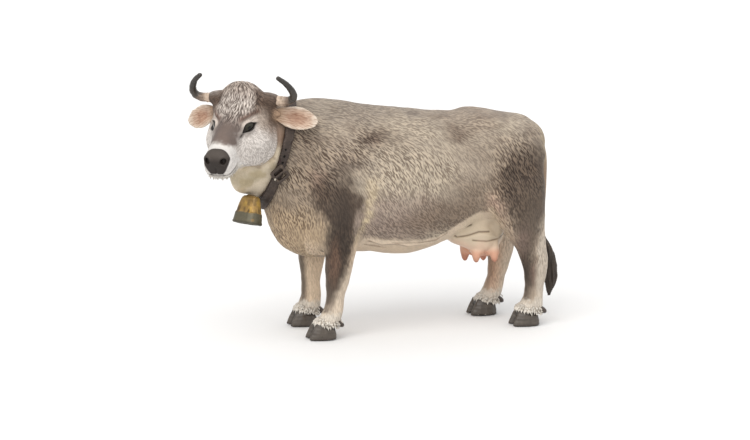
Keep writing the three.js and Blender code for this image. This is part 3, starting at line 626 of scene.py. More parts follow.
# Folds: places along and up, then how wide and how high, with a groove below nothing
BODY_FOLDS = [
    ([(-9, 60), (-8.2, 54), (-7.6, 48.5), (-8.6, 41), (-10.6, 35)], 0.9, -0.55),
    ([(-11.5, 55), (-10.5, 48.5), (-11, 41), (-12.8, 35)], 1.2, 0.35),
    ([(30, 52), (33.5, 47), (37.5, 42), (41.5, 36.5)], 1.1, -0.4),
    ([(34, 52), (37.5, 46), (41, 40), (45, 33)], 1.3, 0.4),
    ([(-6, 33.5), (-1, 31.6), (3, 32), (8, 30.6), (14, 31), (20, 32.5)], 0.55, 0.4),
    ([(-7, 32.3), (-1, 30.4), (4, 30.8), (9, 29.4), (15, 29.8), (21, 31.3)], 0.45, -0.35),
    ([(-22, 50), (-21, 42), (-20.5, 34)], 0.8, -0.25),
    ([(-36.5, 70), (-35.5, 62), (-35, 55)], 0.8, -0.2),
]
# How far round a fold's own points it is worked out
FOLD_MARGIN = 5


def body_shape(p, normals):
    x, z = p[:, 0], p[:, 2]
    facing = facing_out(p, normals)
    height = lifts(np.stack([x, np.abs(p[:, 1] - MID_Y), z], 1), BODY_FORMS)
    for line, width, rise in BODY_FOLDS:
        low, high = np.min(line, 0) - FOLD_MARGIN, np.max(line, 0) + FOLD_MARGIN
        near = (x > low[0]) & (x < high[0]) & (z > low[1]) & (z < high[1])
        gap = side_gap(x[near], z[near], line)
        height[near] += rise * hump(gap, width) * ramp(0.1, 0.4, facing[near] + 0.35)
    return height + (0.12 * noise(p / 6.0, 11) + 0.06 * noise(p / 2.6, 12))


points = pushed_out(points, normals, body_shape(points, normals))


def udder_share(p):
    """1 on the bag and its teats."""
    across = np.sqrt(((p[:, 0] - UDDER_X) / 12.6) ** 2 + ((p[:, 1] - MID_Y) / 10.6) ** 2)
    return ramp(1.08, 0.94, across) * ramp(38.5, 36.5, p[:, 2])


bag = udder_share(points)

# The teats are drawn out a little below the bag and made plumper, the far ones longer
TEAT_ROOT = 27.6
TEAT_LOW = 24.0
PLUMPER = 0.3
teat_points = triangles_of("udder")[0]
teat_points = teat_points[teat_points[:, 2] < TEAT_LOW]
teat_x = (teat_points[:, 0].min() + teat_points[:, 0].max()) / 2
for ahead in (True, False):
    for side, longer in zip(SIDES, (0.3, 0.6)):
        own = teat_points[((teat_points[:, 0] < teat_x) == ahead) & ((teat_points[:, 1] - MID_Y) * side > 0)]
        centre = own.mean(0)
        reach = np.hypot(points[:, 0] - centre[0], points[:, 1] - centre[1])
        share = ramp(3.0, 1.7, reach) * ramp(TEAT_ROOT, TEAT_ROOT - 2.2, points[:, 2])
        for axis in (0, 1):
            points[:, axis] += (points[:, axis] - centre[axis]) * PLUMPER * share
        points[:, 2] -= longer * (TEAT_ROOT - points[:, 2]) * share
normals = normals_of(points, quads)

# How strongly the hair is cut into each part of the hide: place along and up, reach, strength
HAIR = [
    ((-26, 62), (17, 18), 1.0),
    ((8, 58), (22, 13), 0.72),
    ((46, 56), (12, 14), 1.0),
    ((-36, 40), (12, 14), 0.8),
    ((43, 44), (8, 11), 1.0),
    ((-8, 40), (10, 8), 0.5),
    ((-9, 64), (11, 9), 1.0),
]
# How long the strokes are drawn there: short on the low flank and the rump, full on neck and barrel
LENGTHS = [
    ((12, 60), (26, 13), 0.85),
    ((42, 58), (12, 14), 0.9),
]


def most_of(p, least, rows):
    """The largest value that soft ovals on the cow's side give each point."""
    for middle, reach, much in rows:
        least = np.maximum(least, much * patch(p[:, 0], p[:, 2], middle, reach, 0.8))
    return least


def body_hair(p):
    amount = most_of(p, np.full(len(p), 0.48), HAIR)
    amount *= 1 - 0.5 * ramp(26, 18, p[:, 2])
    amount *= 1 - 0.8 * belly_share(p)
    amount *= np.clip(0.85 + 0.3 * noise(p / 7.0, 21), 0.65, 1.1)
    return np.clip(amount, 0.05, 1.0)


def stroke_length(p):
    return most_of(p, 0.7 + 0.15 * patch(p[:, 0], p[:, 2], (-26, 62), (20, 20), 0.8), LENGTHS)


# The line where the flank's grey gives way to the belly's cream, along and up
BELLY_LINE = [
    (-60, 24), (-26, 27), (-12, 35), (-8, 34.6), (-2, 33.4), (5, 32.6), (12, 32.4), (18, 33.0), (21.5, 34.6),
    (25.5, 37.2), (30, 39.8), (34, 41.0), (38, 40.6), (60, 40),
]


def belly_share(p):
    line = np.interp(p[:, 0], *zip(*BELLY_LINE))
    ragged = 0.35 * noise(p / (2.5, 2.5, 1.2), 31)
    thigh = np.interp(p[:, 2], (25, 31, 36, 41, 47), (46, 44.6, 42.2, 39.2, 36.0))
    ahead = ramp(0.6, -1.4, p[:, 0] - thigh + 0.5 * noise(p / 1.5, 32))
    return ramp(0.9, -0.9, p[:, 2] - line + ragged) * ramp(-14, -10, p[:, 0]) * ahead


# How far the tufts of hair stand out of the hide at most
TUFT_RISE = 0.07
amount = body_hair(points)
tufts = streaks(points, normals, body_lie, 1.0, 3.4, 41)
points = pushed_out(points, normals, TUFT_RISE * amount * np.tanh(tufts))
normals = normals_of(points, quads)

# Colours of the coat
BASE = (172, 157, 140)
PALE = (192, 179, 160)
GREY = (146, 134, 122)
DARK = (92, 77, 65)
DARK_WARM = (100, 82, 70)
LEG_DARK = (62, 51, 43)
CREAM = (236, 216, 192)
BRISKET = (194, 170, 140)
TAN = (236, 212, 184)
UDDER_CREAM = (232, 213, 187)
WHITE = (224, 214, 200)
PURPLE = (148, 127, 120)

# The dark of the shoulder and foreleg, and of the thigh and hind leg: height, front edge, rear edge, strength
FORE_DARK = [
    (61, -19, -15, 0), (57.5, -23.5, -13.5, 0.5), (53, -27.0, -11.8, 0.97), (45, -26.0, -9.9, 1),
    (40, -23.0, -11.2, 1), (34, -22.0, -12.6, 1), (30, -22.4, -13.4, 1), (27, -26, -14.2, 1),
    (20, -30, -16.5, 1), (14, -30, -18.8, 0.95), (9.5, -30, -20.6, 0.9), (8, -30, -21, 0),
]
HIND_DARK = [
    (70, 50, 54, 0), (66, 46, 56.5, 0.4), (61, 42, 58.5, 0.8), (52, 40.5, 59, 1), (45, 41.8, 57.5, 1),
    (39.5, 43.6, 55.8, 0.95), (33.6, 45.2, 54.8, 0.9), (28, 46, 53.2, 0.9), (20, 47.6, 53.6, 1),
    (14, 47.6, 53.2, 0.95), (9.5, 46.4, 51.8, 0.85), (8, 46, 51, 0),
]


def between(x, z, rows, soft):
    """1 between the front and rear edges of a table at each height, times its strength there."""
    heights, fronts, rears, strengths = zip(*rows[::-1])
    front, rear, strength = (np.interp(z, heights, values) for values in (fronts, rears, strengths))
    return ramp(-soft, soft, x - front) * ramp(-soft, soft, rear - x) * strength


# Lines painted on the coat, all as places along and up
BELLY_CREASES = [
    [(-6, 32.9), (-1, 31.0), (4, 31.4), (8, 30.2), (13, 30.2)],
    [(2, 32.0), (7, 31.6), (12, 31.4), (18, 32.0), (22, 34.2)],
    [(-7, 31.4), (-3, 30.6), (1, 29.6)],
]
ELBOW_FOLD = [(-6.4, 53), (-6.2, 50), (-7.6, 45.5), (-7.2, 42.5), (-9.0, 39), (-11.2, 35), (-13, 30)]
THIGH_STRIP = [(36.4, 47), (39.6, 41), (42.4, 36), (44.6, 31), (46.0, 25)]
THIGH_EDGE = [(37.6, 42), (38.8, 39.8), (42.6, 32.5), (45.6, 27), (46.6, 23)]


def coat(p, normals, leg_gap, tufts):
    x0, z0 = p[:, 0], p[:, 2]
    # edges between colours wander with the hair, less so on the legs
    ragged = 0.2 + 0.8 * ramp(28, 42, z0)
    fine = 0.25 + 0.25 * ragged
    x = x0 + 0.9 * ragged * noise(p / 6.0, 51) + fine * noise(p / 1.6, 52) + 0.4 * ragged * tufts
    z = z0 + 1.2 * ragged * noise(p / 6.0, 53) + fine * noise(p / 1.6, 54) + 0.3 * ragged * tufts
    outer = ramp(-0.35, 0.25, facing_out(p, normals))
    on_leg = ramp(1.5, 0.5, leg_gap)
    paint = Paint(p, BASE)
    paint.over(0.5 + 0.6 * noise(p / 9.0, 55), PALE, 0.5)
    paint.over(0.2 + 0.8 * noise(p / (6.0, 6.0, 3.0), 56), GREY, 0.4)
    # neck, back and rump
    paint.spots(x, z, [
        (12, 55, 16, 12, 0.8, PALE, 0.5),
        (-29, 62, 9, 14, 0.8, (136, 120, 104), 0.75),
        (-31, 72, 5, 5, 0.8, (112, 98, 86), 0.6),
    ])
    paint.over(ramp(71, 78, z), GREY, 0.7)
    paint.spots(x, z, [(40, 76, 18, 4, 0.8, (160, 144, 128), 0.7)])
    paint.over(ramp(0.2, 1.3, noise(p / (4.0, 8.0, 1.6), 50)) * ramp(60, 70, z0), DARK_WARM, 0.3)
    paint.over(ramp(55.5, 59, x) * ramp(46, 60, z), (182, 166, 140), 0.8)
    paint.spots(x, z, [
        # the two small dark spots and the marks behind them
        (-4.8, 68.6, 4.6, 2.8, 0.95, DARK_WARM, 0.75),
        (-1.5, 66.0, 7.5, 3.4, 0.95, DARK_WARM, 0.3),
        (26.2, 68.2, 3.9, 2.6, 0.95, DARK_WARM, 0.8),
        (33, 61, 6.0, 3.0, 0.95, DARK_WARM, 0.35),
        (-13, 60, 5.0, 3.0, 0.95, DARK_WARM, 0.4),
        # the lower flank
        (1, 41, 15, 7, 0.8, PURPLE, 0.6),
        (19, 40.5, 15, 5.2, 0.7, (130, 112, 96), 0.8),
        (31, 47, 10, 6.5, 0.8, (136, 117, 100), 0.65),
        # shoulder
        (-30, 48, 9, 10, 0.8, (150, 132, 112), 0.5),
        (-24.6, 56.5, 3, 3.0, 0.8, (168, 138, 122), 0.4),
        (-24.5, 53, 4.5, 5.0, 0.9, DARK_WARM, 0.55),
    ])
    # thigh and brisket
    paint.spots(x, z, [(42, 52, 5.5, 12, 0.8, (140, 122, 105), 0.6)], outer)
    paint.over(ramp(50, 38, z + 0.35 * (x + 34)) * ramp(-19, -24, x), BRISKET, 0.9)
    # belly
    belly = belly_share(p) * (1 - on_leg * ramp(-2, -6, x0))
    paint.over(belly, CREAM, 0.95)
    paint.over(belly * ramp(31.4, 29, z0), (204, 178, 148), 0.3)
    thin = np.maximum(0.22 + 0.12 * noise(p / 2.0, 60), 0.08)
    for line in BELLY_CREASES:
        paint.over(hump(side_gap(x0, z0, line), thin) * outer, (120, 96, 78), 0.6)
    # the pale line behind the elbow
    fold_width = np.interp(z0, (30, 42, 46, 53), (1.3, 1.3, 2.1, 2.3))
    fold = hump(side_gap(x0, z0, ELBOW_FOLD) + 0.3 * tufts, fold_width) * (0.8 + 0.35 * noise(p / 1.4, 59))
    paint.over(fold * outer * ramp(26, 30, z0), (212, 194, 163), 0.85)
    # foreleg: dark down the front and the outside, pale behind, tan inside
    fore = ramp(37, 30, z) * ramp(4, 0, x0) * on_leg
    paint.over(fore, TAN, 0.95)
    paint.over(fore * outer * ramp(32, 20, z), WHITE, 0.4)
    on_front = (x0 < 4) * outer * np.maximum(ramp(34, 38, z0), on_leg)
    on_front = on_front * ramp(7.4, 9.2, np.abs(p[:, 1] - MID_Y) + 9.0 * ramp(26.5, 24, z0))
    paint.over(between(x, z, FORE_DARK, 2.2) * on_front, DARK, 0.97)
    paint.spots(x, z, [(-18.0, 35, 4.4, 19, 0.8, LEG_DARK, 0.85)], between(x, z, FORE_DARK, 1.9) * on_front)
    paint.over(fore * (1 - outer) * ramp(-0.3, -0.9, normals[:, 0]) * ramp(31, 28, z0), LEG_DARK, 0.85)
    paint.spots(x, z, [(-19.4, 27, 1.6, 7, 0.8, (126, 96, 78), 0.55)], on_front)
    # hind leg
    hind = ramp(38, 30, z) * ramp(30, 34, x0)
    inner_hind = hind * (1 - outer)
    paint.over(inner_hind, (226, 206, 184), 0.95)
    paint.spots(x, z, [(46, 18, 3.0, 9, 0.8, (214, 168, 136), 0.75)], inner_hind)
    paint.over(inner_hind * ramp(-0.3, -0.9, normals[:, 0]), (130, 112, 96), 0.6)
    paint.over(hind * outer, (190, 172, 152), 0.9)
    paint.over(hind * outer * ramp(53.4, 55.4, x), WHITE, 0.5)
    paint.spots(x, z, [(44.5, 45, 5, 10, 0.9, DARK_WARM, 0.5)], outer)
    dark = between(x, z, HIND_DARK, 2.9) * (x0 > 30) * outer
    paint.over(dark, (96, 82, 70), 0.97)
    paint.spots(x, z, [
        (52, 57, 7, 6, 0.9, DARK, 0.7),
        (50.2, 16, 3.4, 9, 0.9, LEG_DARK, 0.95),
    ], dark)
    paint.spots(x, z, [
        (48.4, 30, 2.4, 6, 0.9, (140, 116, 108), 0.4),
        (53.4, 18, 1.0, 4, 0.9, (112, 78, 70), 0.4),
    ], outer)
    # the pale strip down the front of the thigh
    strip = hump(side_gap(x0, z0, THIGH_STRIP) + 0.4 * tufts, 2.3) * outer * (0.8 + 0.25 * noise(p / 1.2, 58))
    paint.over(strip, (198, 176, 154), 0.75)
    paint.spots(x, z, [(38.4, 44, 4, 5, 0.9, (196, 164, 148), 0.6)], strip)
    paint.over(hump(side_gap(x0, z0, THIGH_EDGE) + 0.25 * tufts, 1.0) * outer, (226, 206, 180), 0.8)
    # white at the fetlocks
    paint.over(ramp(10.0, 7.6, z0 + 0.5 * noise(p / 0.9, 57)), WHITE, 0.9)
    # the udder's cream runs into the belly
    on_bag = ramp(16.5, 13.5, np.hypot(x0 - UDDER_X, p[:, 1] - MID_Y)) * ramp(41.5, 38.5, z0)
    paint.over(on_bag * (1 - on_leg), UDDER_CREAM, 0.9)
    return paint


# The small dark marks and the thin creases on the side of the bag: places along and up
UDDER_MARKS = [
    [(28.0, 36.4), (31.5, 37.4)],
    [(29.5, 35.2), (32.0, 35.8)],
]
UDDER_CREASES = [
    [(24, 33.5), (28, 31.2), (31, 31.9), (35, 33.2), (39, 33.0)],
    [(33, 30.2), (38, 29.6), (43, 30.0), (46, 31)],
]
# The same lines as relief, with a vein between them: line, width and rise
UDDER_VEINS = [
    (UDDER_CREASES[0], 0.35, -0.35),
    ([(27, 31.0), (31, 31.0), (36, 32.2), (41, 31.0), (45, 29.5)], 0.4, 0.25),
    (UDDER_CREASES[1], 0.35, -0.3),
    (UDDER_MARKS[0], 0.5, -0.35),
    (UDDER_MARKS[1], 0.5, -0.3),
]


def udder_coat(p, beside):
    x, z = p[:, 0], p[:, 2]
    paint = Paint(p, UDDER_CREAM)
    paint.over(0.5 + 0.5 * noise(p / 5.0, 61), (208, 190, 160), 0.4)
    for lines, width, tone in ((UDDER_CREASES, 0.26, (136, 114, 84)), (UDDER_MARKS, 0.42, (92, 80, 56))):
        for line in lines:
            paint.over(hump(side_gap(x, z, line), width) * beside, tone, 0.7)
    # painted light: the bag's lower part is made paler to lift the shade that falls under it
    lit_low_part = ramp(30.6, 27.2, z + 0.06 * (x - 36) + 0.5 * noise(p / 3.0, 62))
    paint.over(lit_low_part, (250, 216, 190), 0.85)
    paint.over(ramp(27.2, 24.8, z), (238, 180, 150), 0.9)
    paint.over(ramp(24.4, 21.4, z), (196, 124, 100), 0.7)
    return paint


# The hide and the udder share one shape: each is sunk a little where the other shows.
SINK = 0.22
bag_edge = ramp(0.3, 0.7, bag)
hide_points = pushed_out(points, normals, -SINK * bag_edge)
# The middle of each foot along and across, and where its toe and heel end
feet = {}
for leg in LEGS:
    sole = triangles_of(leg)[0]
    sole = sole[sole[:, 2] < 0.05]
    feet[leg] = ((sole[:, 0].min() + sole[:, 0].max()) / 2, (sole[:, 1].min() + sole[:, 1].max()) / 2,
                 sole[:, 0].min(), sole[:, 0].max())

# How high the hoof reaches at the toe, and how much lower it ends at the heel
HOOF_TOP, HOOF_DROP = 6.3, 2.2
# The foot's own part of the hide ends here
FOOT_TOP = 12


def hoof_line(x, leg):
    """How high the hoof's top edge is at a place along the foot."""
    _, _, toe, heel = feet[leg]
    return HOOF_TOP - HOOF_DROP * np.clip((x - toe) / (heel - toe), 0, 1)


# How far the hide draws in at the hoof's edge, how far it swells just above, and how low it ends
EDGE_SINK, BAND_RISE, HIDE_END = 0.8, 0.35, 0.35
ground = hide_points[:, :2]
gaps = np.stack([np.hypot(*(ground - feet[leg][:2]).T) for leg in LEGS], 1)
nearest_leg = gaps.argmin(1)
for k, leg in enumerate(LEGS):
    mine = (nearest_leg == k) & (hide_points[:, 2] < FOOT_TOP)
    above = hide_points[mine, 2] - hoof_line(hide_points[mine, 0], leg)
    depth = EDGE_SINK * ramp(0.3, -0.4, above)
    depth -= BAND_RISE * hump(above - 0.9, 0.8)
    hide_points[mine] -= normals[mine] * depth[:, None]
hide_points[:, 2] = np.maximum(hide_points[:, 2], HIDE_END)
coat_paint = coat(points, normals, leg_gap, tufts)
way = laid_flat(body_lie(points), normals) * stroke_length(points)[:, None]
replaced = ("trunk",) + LEGS
make("hide", hide_points, quads, HIDE_PAINT, replaced, coat_paint.colour, lie=way, hair=amount)

# The udder's piece keeps only the quads near it, between these places along and up
BAG_REAR, BAG_FRONT, BAG_TOP, BAG_LOW = 53, 19, 43, 17
near = (points[:, 0] > BAG_FRONT) & (points[:, 0] < BAG_REAR) & (bag > 0.02)
near &= (points[:, 2] < BAG_TOP) & (points[:, 2] > BAG_LOW)
keep = near[quads].all(1)
used = np.unique(quads[keep])
order = np.full(len(points), -1)
order[used] = np.arange(len(used))
bag_points = pushed_out(points, normals, -SINK * (1 - bag_edge))
bag_points, bag_normals = bag_points[used], normals[used]
beside = ramp(0.2, 0.5, np.abs(bag_normals[:, 1]))
vein = np.zeros(len(used))
for line, width, rise in UDDER_VEINS:
    vein += rise * hump(side_gap(bag_points[:, 0], bag_points[:, 2], line), width) * beside
bag_points = pushed_out(bag_points, bag_normals, 0.6 * vein)
paint = udder_coat(points[used], beside)
paint.shade(1 + 0.7 * np.minimum(vein, 0))
make("udder_bag", bag_points, order[quads[keep]], UDDER_PAINT, ("udder",), paint.colour, 2.5 * vein)


# The head

# The length, half width and height of the head in the source, by which the roots are placed
HEAD_LONG, HEAD_HALF_WIDE, HEAD_TALL = 36.5, 10.4, 26
HORN_BACK, HORN_OUT, HORN_UP = -0.367 * HEAD_LONG, 0.84 * HEAD_HALF_WIDE, 0.06 * HEAD_TALL
HEAD_BAND = 2.0


def to_head(p):
    q = p - HEAD_MIDDLE
    return q @ FORWARD, q @ ACROSS, q @ UPWARD


def from_head(forward, across, up):
    return HEAD_MIDDLE + forward * FORWARD + across * ACROSS + up * UPWARD


def head_vector(forward, across, up):
    return forward * FORWARD + across * ACROSS + up * UPWARD


def horn_place(side, forward=0.0, out=0.0, up=0.0):
    """A place given from the horn's root in the head's own ways."""
    return from_head(HORN_BACK + forward, side * (HORN_OUT + out), HORN_UP + up)


low, high = box_of(("head",), 2.0)
block = Block(low, high, HEAD_VOXEL)
field = distance(block, "head", HEAD_BAND)
X, Y, Z = block.points()


def capsule(a, b, radius_a, radius_b):
    """A tapered stump with round ends, as a volume in the head's block."""
    way = b - a
    t = ((X - a[0]) * way[0] + (Y - a[1]) * way[1] + (Z - a[2]) * way[2]) / float(way @ way)
    t = np.clip(t, 0, 1)
    gap = np.sqrt((X - a[0] - t * way[0]) ** 2 + (Y - a[1] - t * way[1]) ** 2 + (Z - a[2] - t * way[2]) ** 2)
    return (gap - (radius_a + (radius_b - radius_a) * t)).astype(np.float32)


# The way each ear points: forward, out and up
EAR_POINT = {-1: (-0.25, 0.885, -0.4), 1: (-0.2, 0.83, -0.52)}
# How far horns and ears are blended into the head
ROOT_BLEND = 1.4

# The roots of horns and ears, out of which they grow
ears = {}
for side in SIDES:
    root = from_head(-0.318 * HEAD_LONG, side * 0.97 * HEAD_HALF_WIDE, -0.11 * HEAD_TALL)
    forward, outward, upward = EAR_POINT[side]
    out = straight(head_vector(forward, side * outward, upward))
    opening = head_vector(0.71, side * 0.35, 0.61)
    opening = straight(opening - out * (opening @ out))
    ears[side] = (root, out, opening, np.cross(out, opening))
    field = blend_min(field, capsule(root - 1.5 * out, root + 1.6 * out, 2.3, 1.5), ROOT_BLEND)
    horn_root = capsule(horn_place(side), horn_place(side, -0.2, 1.9, -0.3), 2.6, 2.35)
    field = blend_min(field, horn_root, ROOT_BLEND)
# Rounded well, and only a little at the muzzle
soft = blur(field, 0.62 / HEAD_VOXEL)
firm = blur(field, 0.34 / HEAD_VOXEL)
ahead = sum((axis - start) * part for axis, start, part in zip((X, Y, Z), HEAD_MIDDLE, FORWARD))
field = firm + (soft - firm) * ramp(15.0, 11.0, ahead)
head_points, head_quads = largest_part(*surface(block, field))
head_points = relax(head_points, head_quads)
head_normals = normals_of(head_points, head_quads)

# Each eye's own frame: its middle, along its slit to the nose, up its lid, and out
eyes = {}
for side in SIDES:
    middle = from_head(0.7, side * 6.75, 0.75)
    along = straight(from_head(4.4, side * 5.1, 1.0) - from_head(-2.9, side * 8.1, -0.5))
    out = head_vector(0.35, side * 0.9, 0.3)
    out = straight(out - along * (out @ along))
    up_lid = np.cross(out, along)
    if up_lid @ UPWARD < 0:
        up_lid = -up_lid
    eyes[side] = (middle, along, up_lid, out)


def eye_ring(s, v):
    """1 on the edge of the almond between the lids, less inside it."""
    open_half = np.where(v > 0, 1.15, 0.9) * (1 - 0.35 * ramp(0.5, 3.2, s)) * (1 - 0.4 * ramp(-1.5, -3, s))
    return np.sqrt((s / 3.0) ** 2 + ((v + 0.06 * s) / open_half) ** 2)


def eye_places(p, side):
    middle, along, up_lid, out = eyes[side]
    q = p - middle
    return q @ along, q @ up_lid, q @ out


# Brows, cheeks and other forms of the head: place, reach and rise on both sides
HEAD_FORMS = [
    ((-2.4, 5.6, 3.4), (4.2, 2.2, 1.6), 0.45),
    ((4.2, 5.4, -2.6), (4.0, 2.4, 1.8), 0.35),
    ((7.5, 4.6, -1.4), (3.4, 1.8, 2.2), -0.3),
    ((-1.0, 10.5, -6.5), (4.5, 3.0, 3.5), 0.3),
    ((8.0, 2.0, 3.0), (6.0, 1.2, 1.5), 0.2),
    ((0.5, 2.6, 4.6), (3.0, 1.8, 2.0), -0.25),
    ((16.4, 3.9, -1.2), (1.7, 1.3, 1.9), 0.3),
    ((14.0, 4.6, -4.0), (2.5, 1.6, 1.6), 0.3),
    ((-9.5, 10.8, -3.5), (3.0, 2.0, 3.5), -0.35),
]
# Where the jaw's lower edge runs: forward and up
JAW = [
    (-9.5, -7.0), (-7.4, -9.6), (-5.9, -12.0), (-3.1, -14.4), (0.9, -15.4), (5.5, -12.2), (9.5, -8.9),
    (13.6, -6.4), (20, -6.4),
]
# The mouth and the nostril's tail on one side: forward, out and up
MOUTH = [
    (9.5, 5.2, -6.2), (11.0, 5.2, -5.5), (14.2, 4.7, -4.9), (17.3, 4.2, -4.8), (19.1, 1.6, -4.95),
    (19.3, 0, -5.0),
]
NOSTRIL_TAIL = [(17.4, 3.4, 0.5), (16.2, 4.2, 0.0), (15.6, 4.3, -0.9)]


def above_jaw(f, u):
    return u - np.interp(f, *zip(*JAW))


def nostril(f, a, u, side, long, wide):
    """How far each point is from a nostril's middle, where 1 is its edge."""
    q = np.stack([(f - 17.9) / long, (a - side * 2.75) / wide, (u - 0.3) / 0.95], 1)
    return np.sqrt((q ** 2).sum(1))


def nose_edge(f, a, u):
    """How far a point is outside the nose pad's edge; less than nothing on the pad."""
    half = np.interp(u, (-4.6, -3.2, -1.0, 1.0, 2.6, 4.0), (1.9, 3.2, 4.4, 4.9, 4.7, 2.4))
    back = np.interp(u, (-5, -3, 0, 2.0, 3.2), (17.6, 17.2, 15.6, 14.7, 14.4))
    return np.maximum(np.abs(a) - half, np.maximum((back - f) * 0.8, -4.3 - u))


def head_shape(p):
    f, a, u = to_head(p)
    mirrored = np.stack([f, np.abs(a), u], 1)
    height = lifts(mirrored, HEAD_FORMS)
    near = (f > 6) & (u < 0)
    gap, along = nearest_on_line(mirrored[near], MOUTH)
    height[near] -= np.interp(along, (0, 4, 8, 30), (0.0, 0.2, 0.6, 0.75)) * hump(gap, 0.34)
    height[near] += 0.22 * hump(gap - 0.85, 0.5) * ramp(0, 6, along)
    # the jaw stands out over the throat
    edge = above_jaw(f, u)
    beside = ramp(2.5, 4.5, np.abs(a)) * ramp(12.5, 9.5, f) * ramp(-10, -8, f)
    height += (0.45 * hump(edge - 1.6, 1.5) - 0.5 * hump(edge + 0.6, 0.8)) * beside
    # nostrils: a comma of a hollow with a raised wing around it
    for side in SIDES:
        d = nostril(f, a, u, side, 1.4, 0.95)
        height -= 0.85 * ramp(1.15, 0.3, d)
        height += 0.3 * hump(d - 1.5, 0.4) * ramp(-0.6, 0.4, u - 0.3)
        tail = nearest_on_line(np.stack([f, a * side, u], 1), NOSTRIL_TAIL)[0]
        height -= 0.3 * hump(tail, 0.35)
    # the pad's edge and the cleft of the upper lip
    height -= 0.28 * hump(nose_edge(f, a, u), 0.32)
    height -= 0.3 * hump(a, 0.3) * ramp(-0.5, -2.0, u) * ramp(17.5, 18.5, f) * ramp(-4.9, -4.2, u)
    # the eye's slit, its lids and the folds round them
    for side in SIDES:
        s, v, w = eye_places(p, side)
        near = (np.abs(w) < 3.2) & (np.abs(s) < 9) & (np.abs(v) < 7)
        s, v = s[near], v[near]
        e = eye_ring(s, v)
        lift = -0.85 * ramp(1.06, 0.84, e)
        lift += np.where(v > 0, 0.5, 0.26) * hump(e - 1.34, 0.24)
        lift -= np.where(v > 0, 0.24, 0.1) * hump(e - 2.1, 0.26)
        lift += 0.3 * hump(v - 3.2, 0.9) * ramp(-8, -5, s) * ramp(3, 0, s)
        lift -= 0.35 * oval_hump(s - 4.2, 1.5, v + 0.5 + 0.25 * (s - 3), 0.32)
        height[near] += lift
    return height


def head_lie(p):
    f, a, u = to_head(p)
    cheek = ramp(6.2, 9.0, np.abs(a) + 0.35 * np.maximum(-u, 0))
    poll = ramp(-9, -13, f)
    along = 1 - 1.2 * cheek
    across = np.sign(a) * (0.05 * np.abs(a) + 0.25 * poll * np.abs(a))
    up = -0.95 * cheek - 0.6 * poll
    neck = ramp(-13, -17, u - 0.4 * f)
    turn = 0.26 * noise(p / 4.5, 71) + 0.3 * noise(p / 1.8, 73)
    d = along[:, None] * FORWARD + (across + turn)[:, None] * ACROSS + up[:, None] * UPWARD
    down_neck = np.array([0.62, 0.0, -0.78])
    return d * (1 - neck)[:, None] + down_neck * neck[:, None]


head_points = pushed_out(head_points, head_normals, head_shape(head_points))
head_normals = normals_of(head_points, head_quads)
f, a, u = to_head(head_points)
# How far the locks of the forehead stand out
LOCK_RISE = 0.15
# Hair is deepest on the forehead, fine on the cheeks, and none on the nose and round the eyes
forehead = ramp(4.5, 0.0, f) * ramp(9.0, 6.8, np.abs(a)) * ramp(-1.5, 1.0, u)
head_hair = 0.12 + 0.84 * forehead + 0.2 * (ramp(12.5, 9.0, f) * (1 - forehead))
head_hair *= ramp(-0.6, 0.8, nose_edge(f, a, u))
head_hair *= 1 - 0.85 * ramp(2.0, 5.5, f) * ramp(5.8, 4.4, np.abs(a)) * ramp(-0.5, 1, u)
for side in SIDES:
    s, v, w = eye_places(head_points, side)
    near = (np.abs(w) < 4) & (a * side > 0)
    head_hair *= np.where(near, ramp(1.4, 3.0, eye_ring(s, v)), 1)
    lid = hump(v - 2.4, 1.5) * ramp(-7.5, -5, s) * ramp(3.5, 1.0, s)
    corner = oval_hump(s - 4.6, 1.8, v + 0.6, 1.0)
    head_hair *= np.where(near, 1 - 0.85 * np.maximum(lid, corner), 1)
head_hair *= 1 - 0.85 * ramp(0.5, -0.8, above_jaw(f, u))
locks = streaks(head_points, head_normals, head_lie, 0.7, 2.8, 72)
head_relief = head_hair * forehead * np.tanh(1.1 * locks)
head_points = pushed_out(head_points, head_normals, LOCK_RISE * head_relief)
head_normals = normals_of(head_points, head_quads)
head_way = laid_flat(head_lie(head_points), head_normals) * (0.45 + 0.3 * forehead)[:, None]


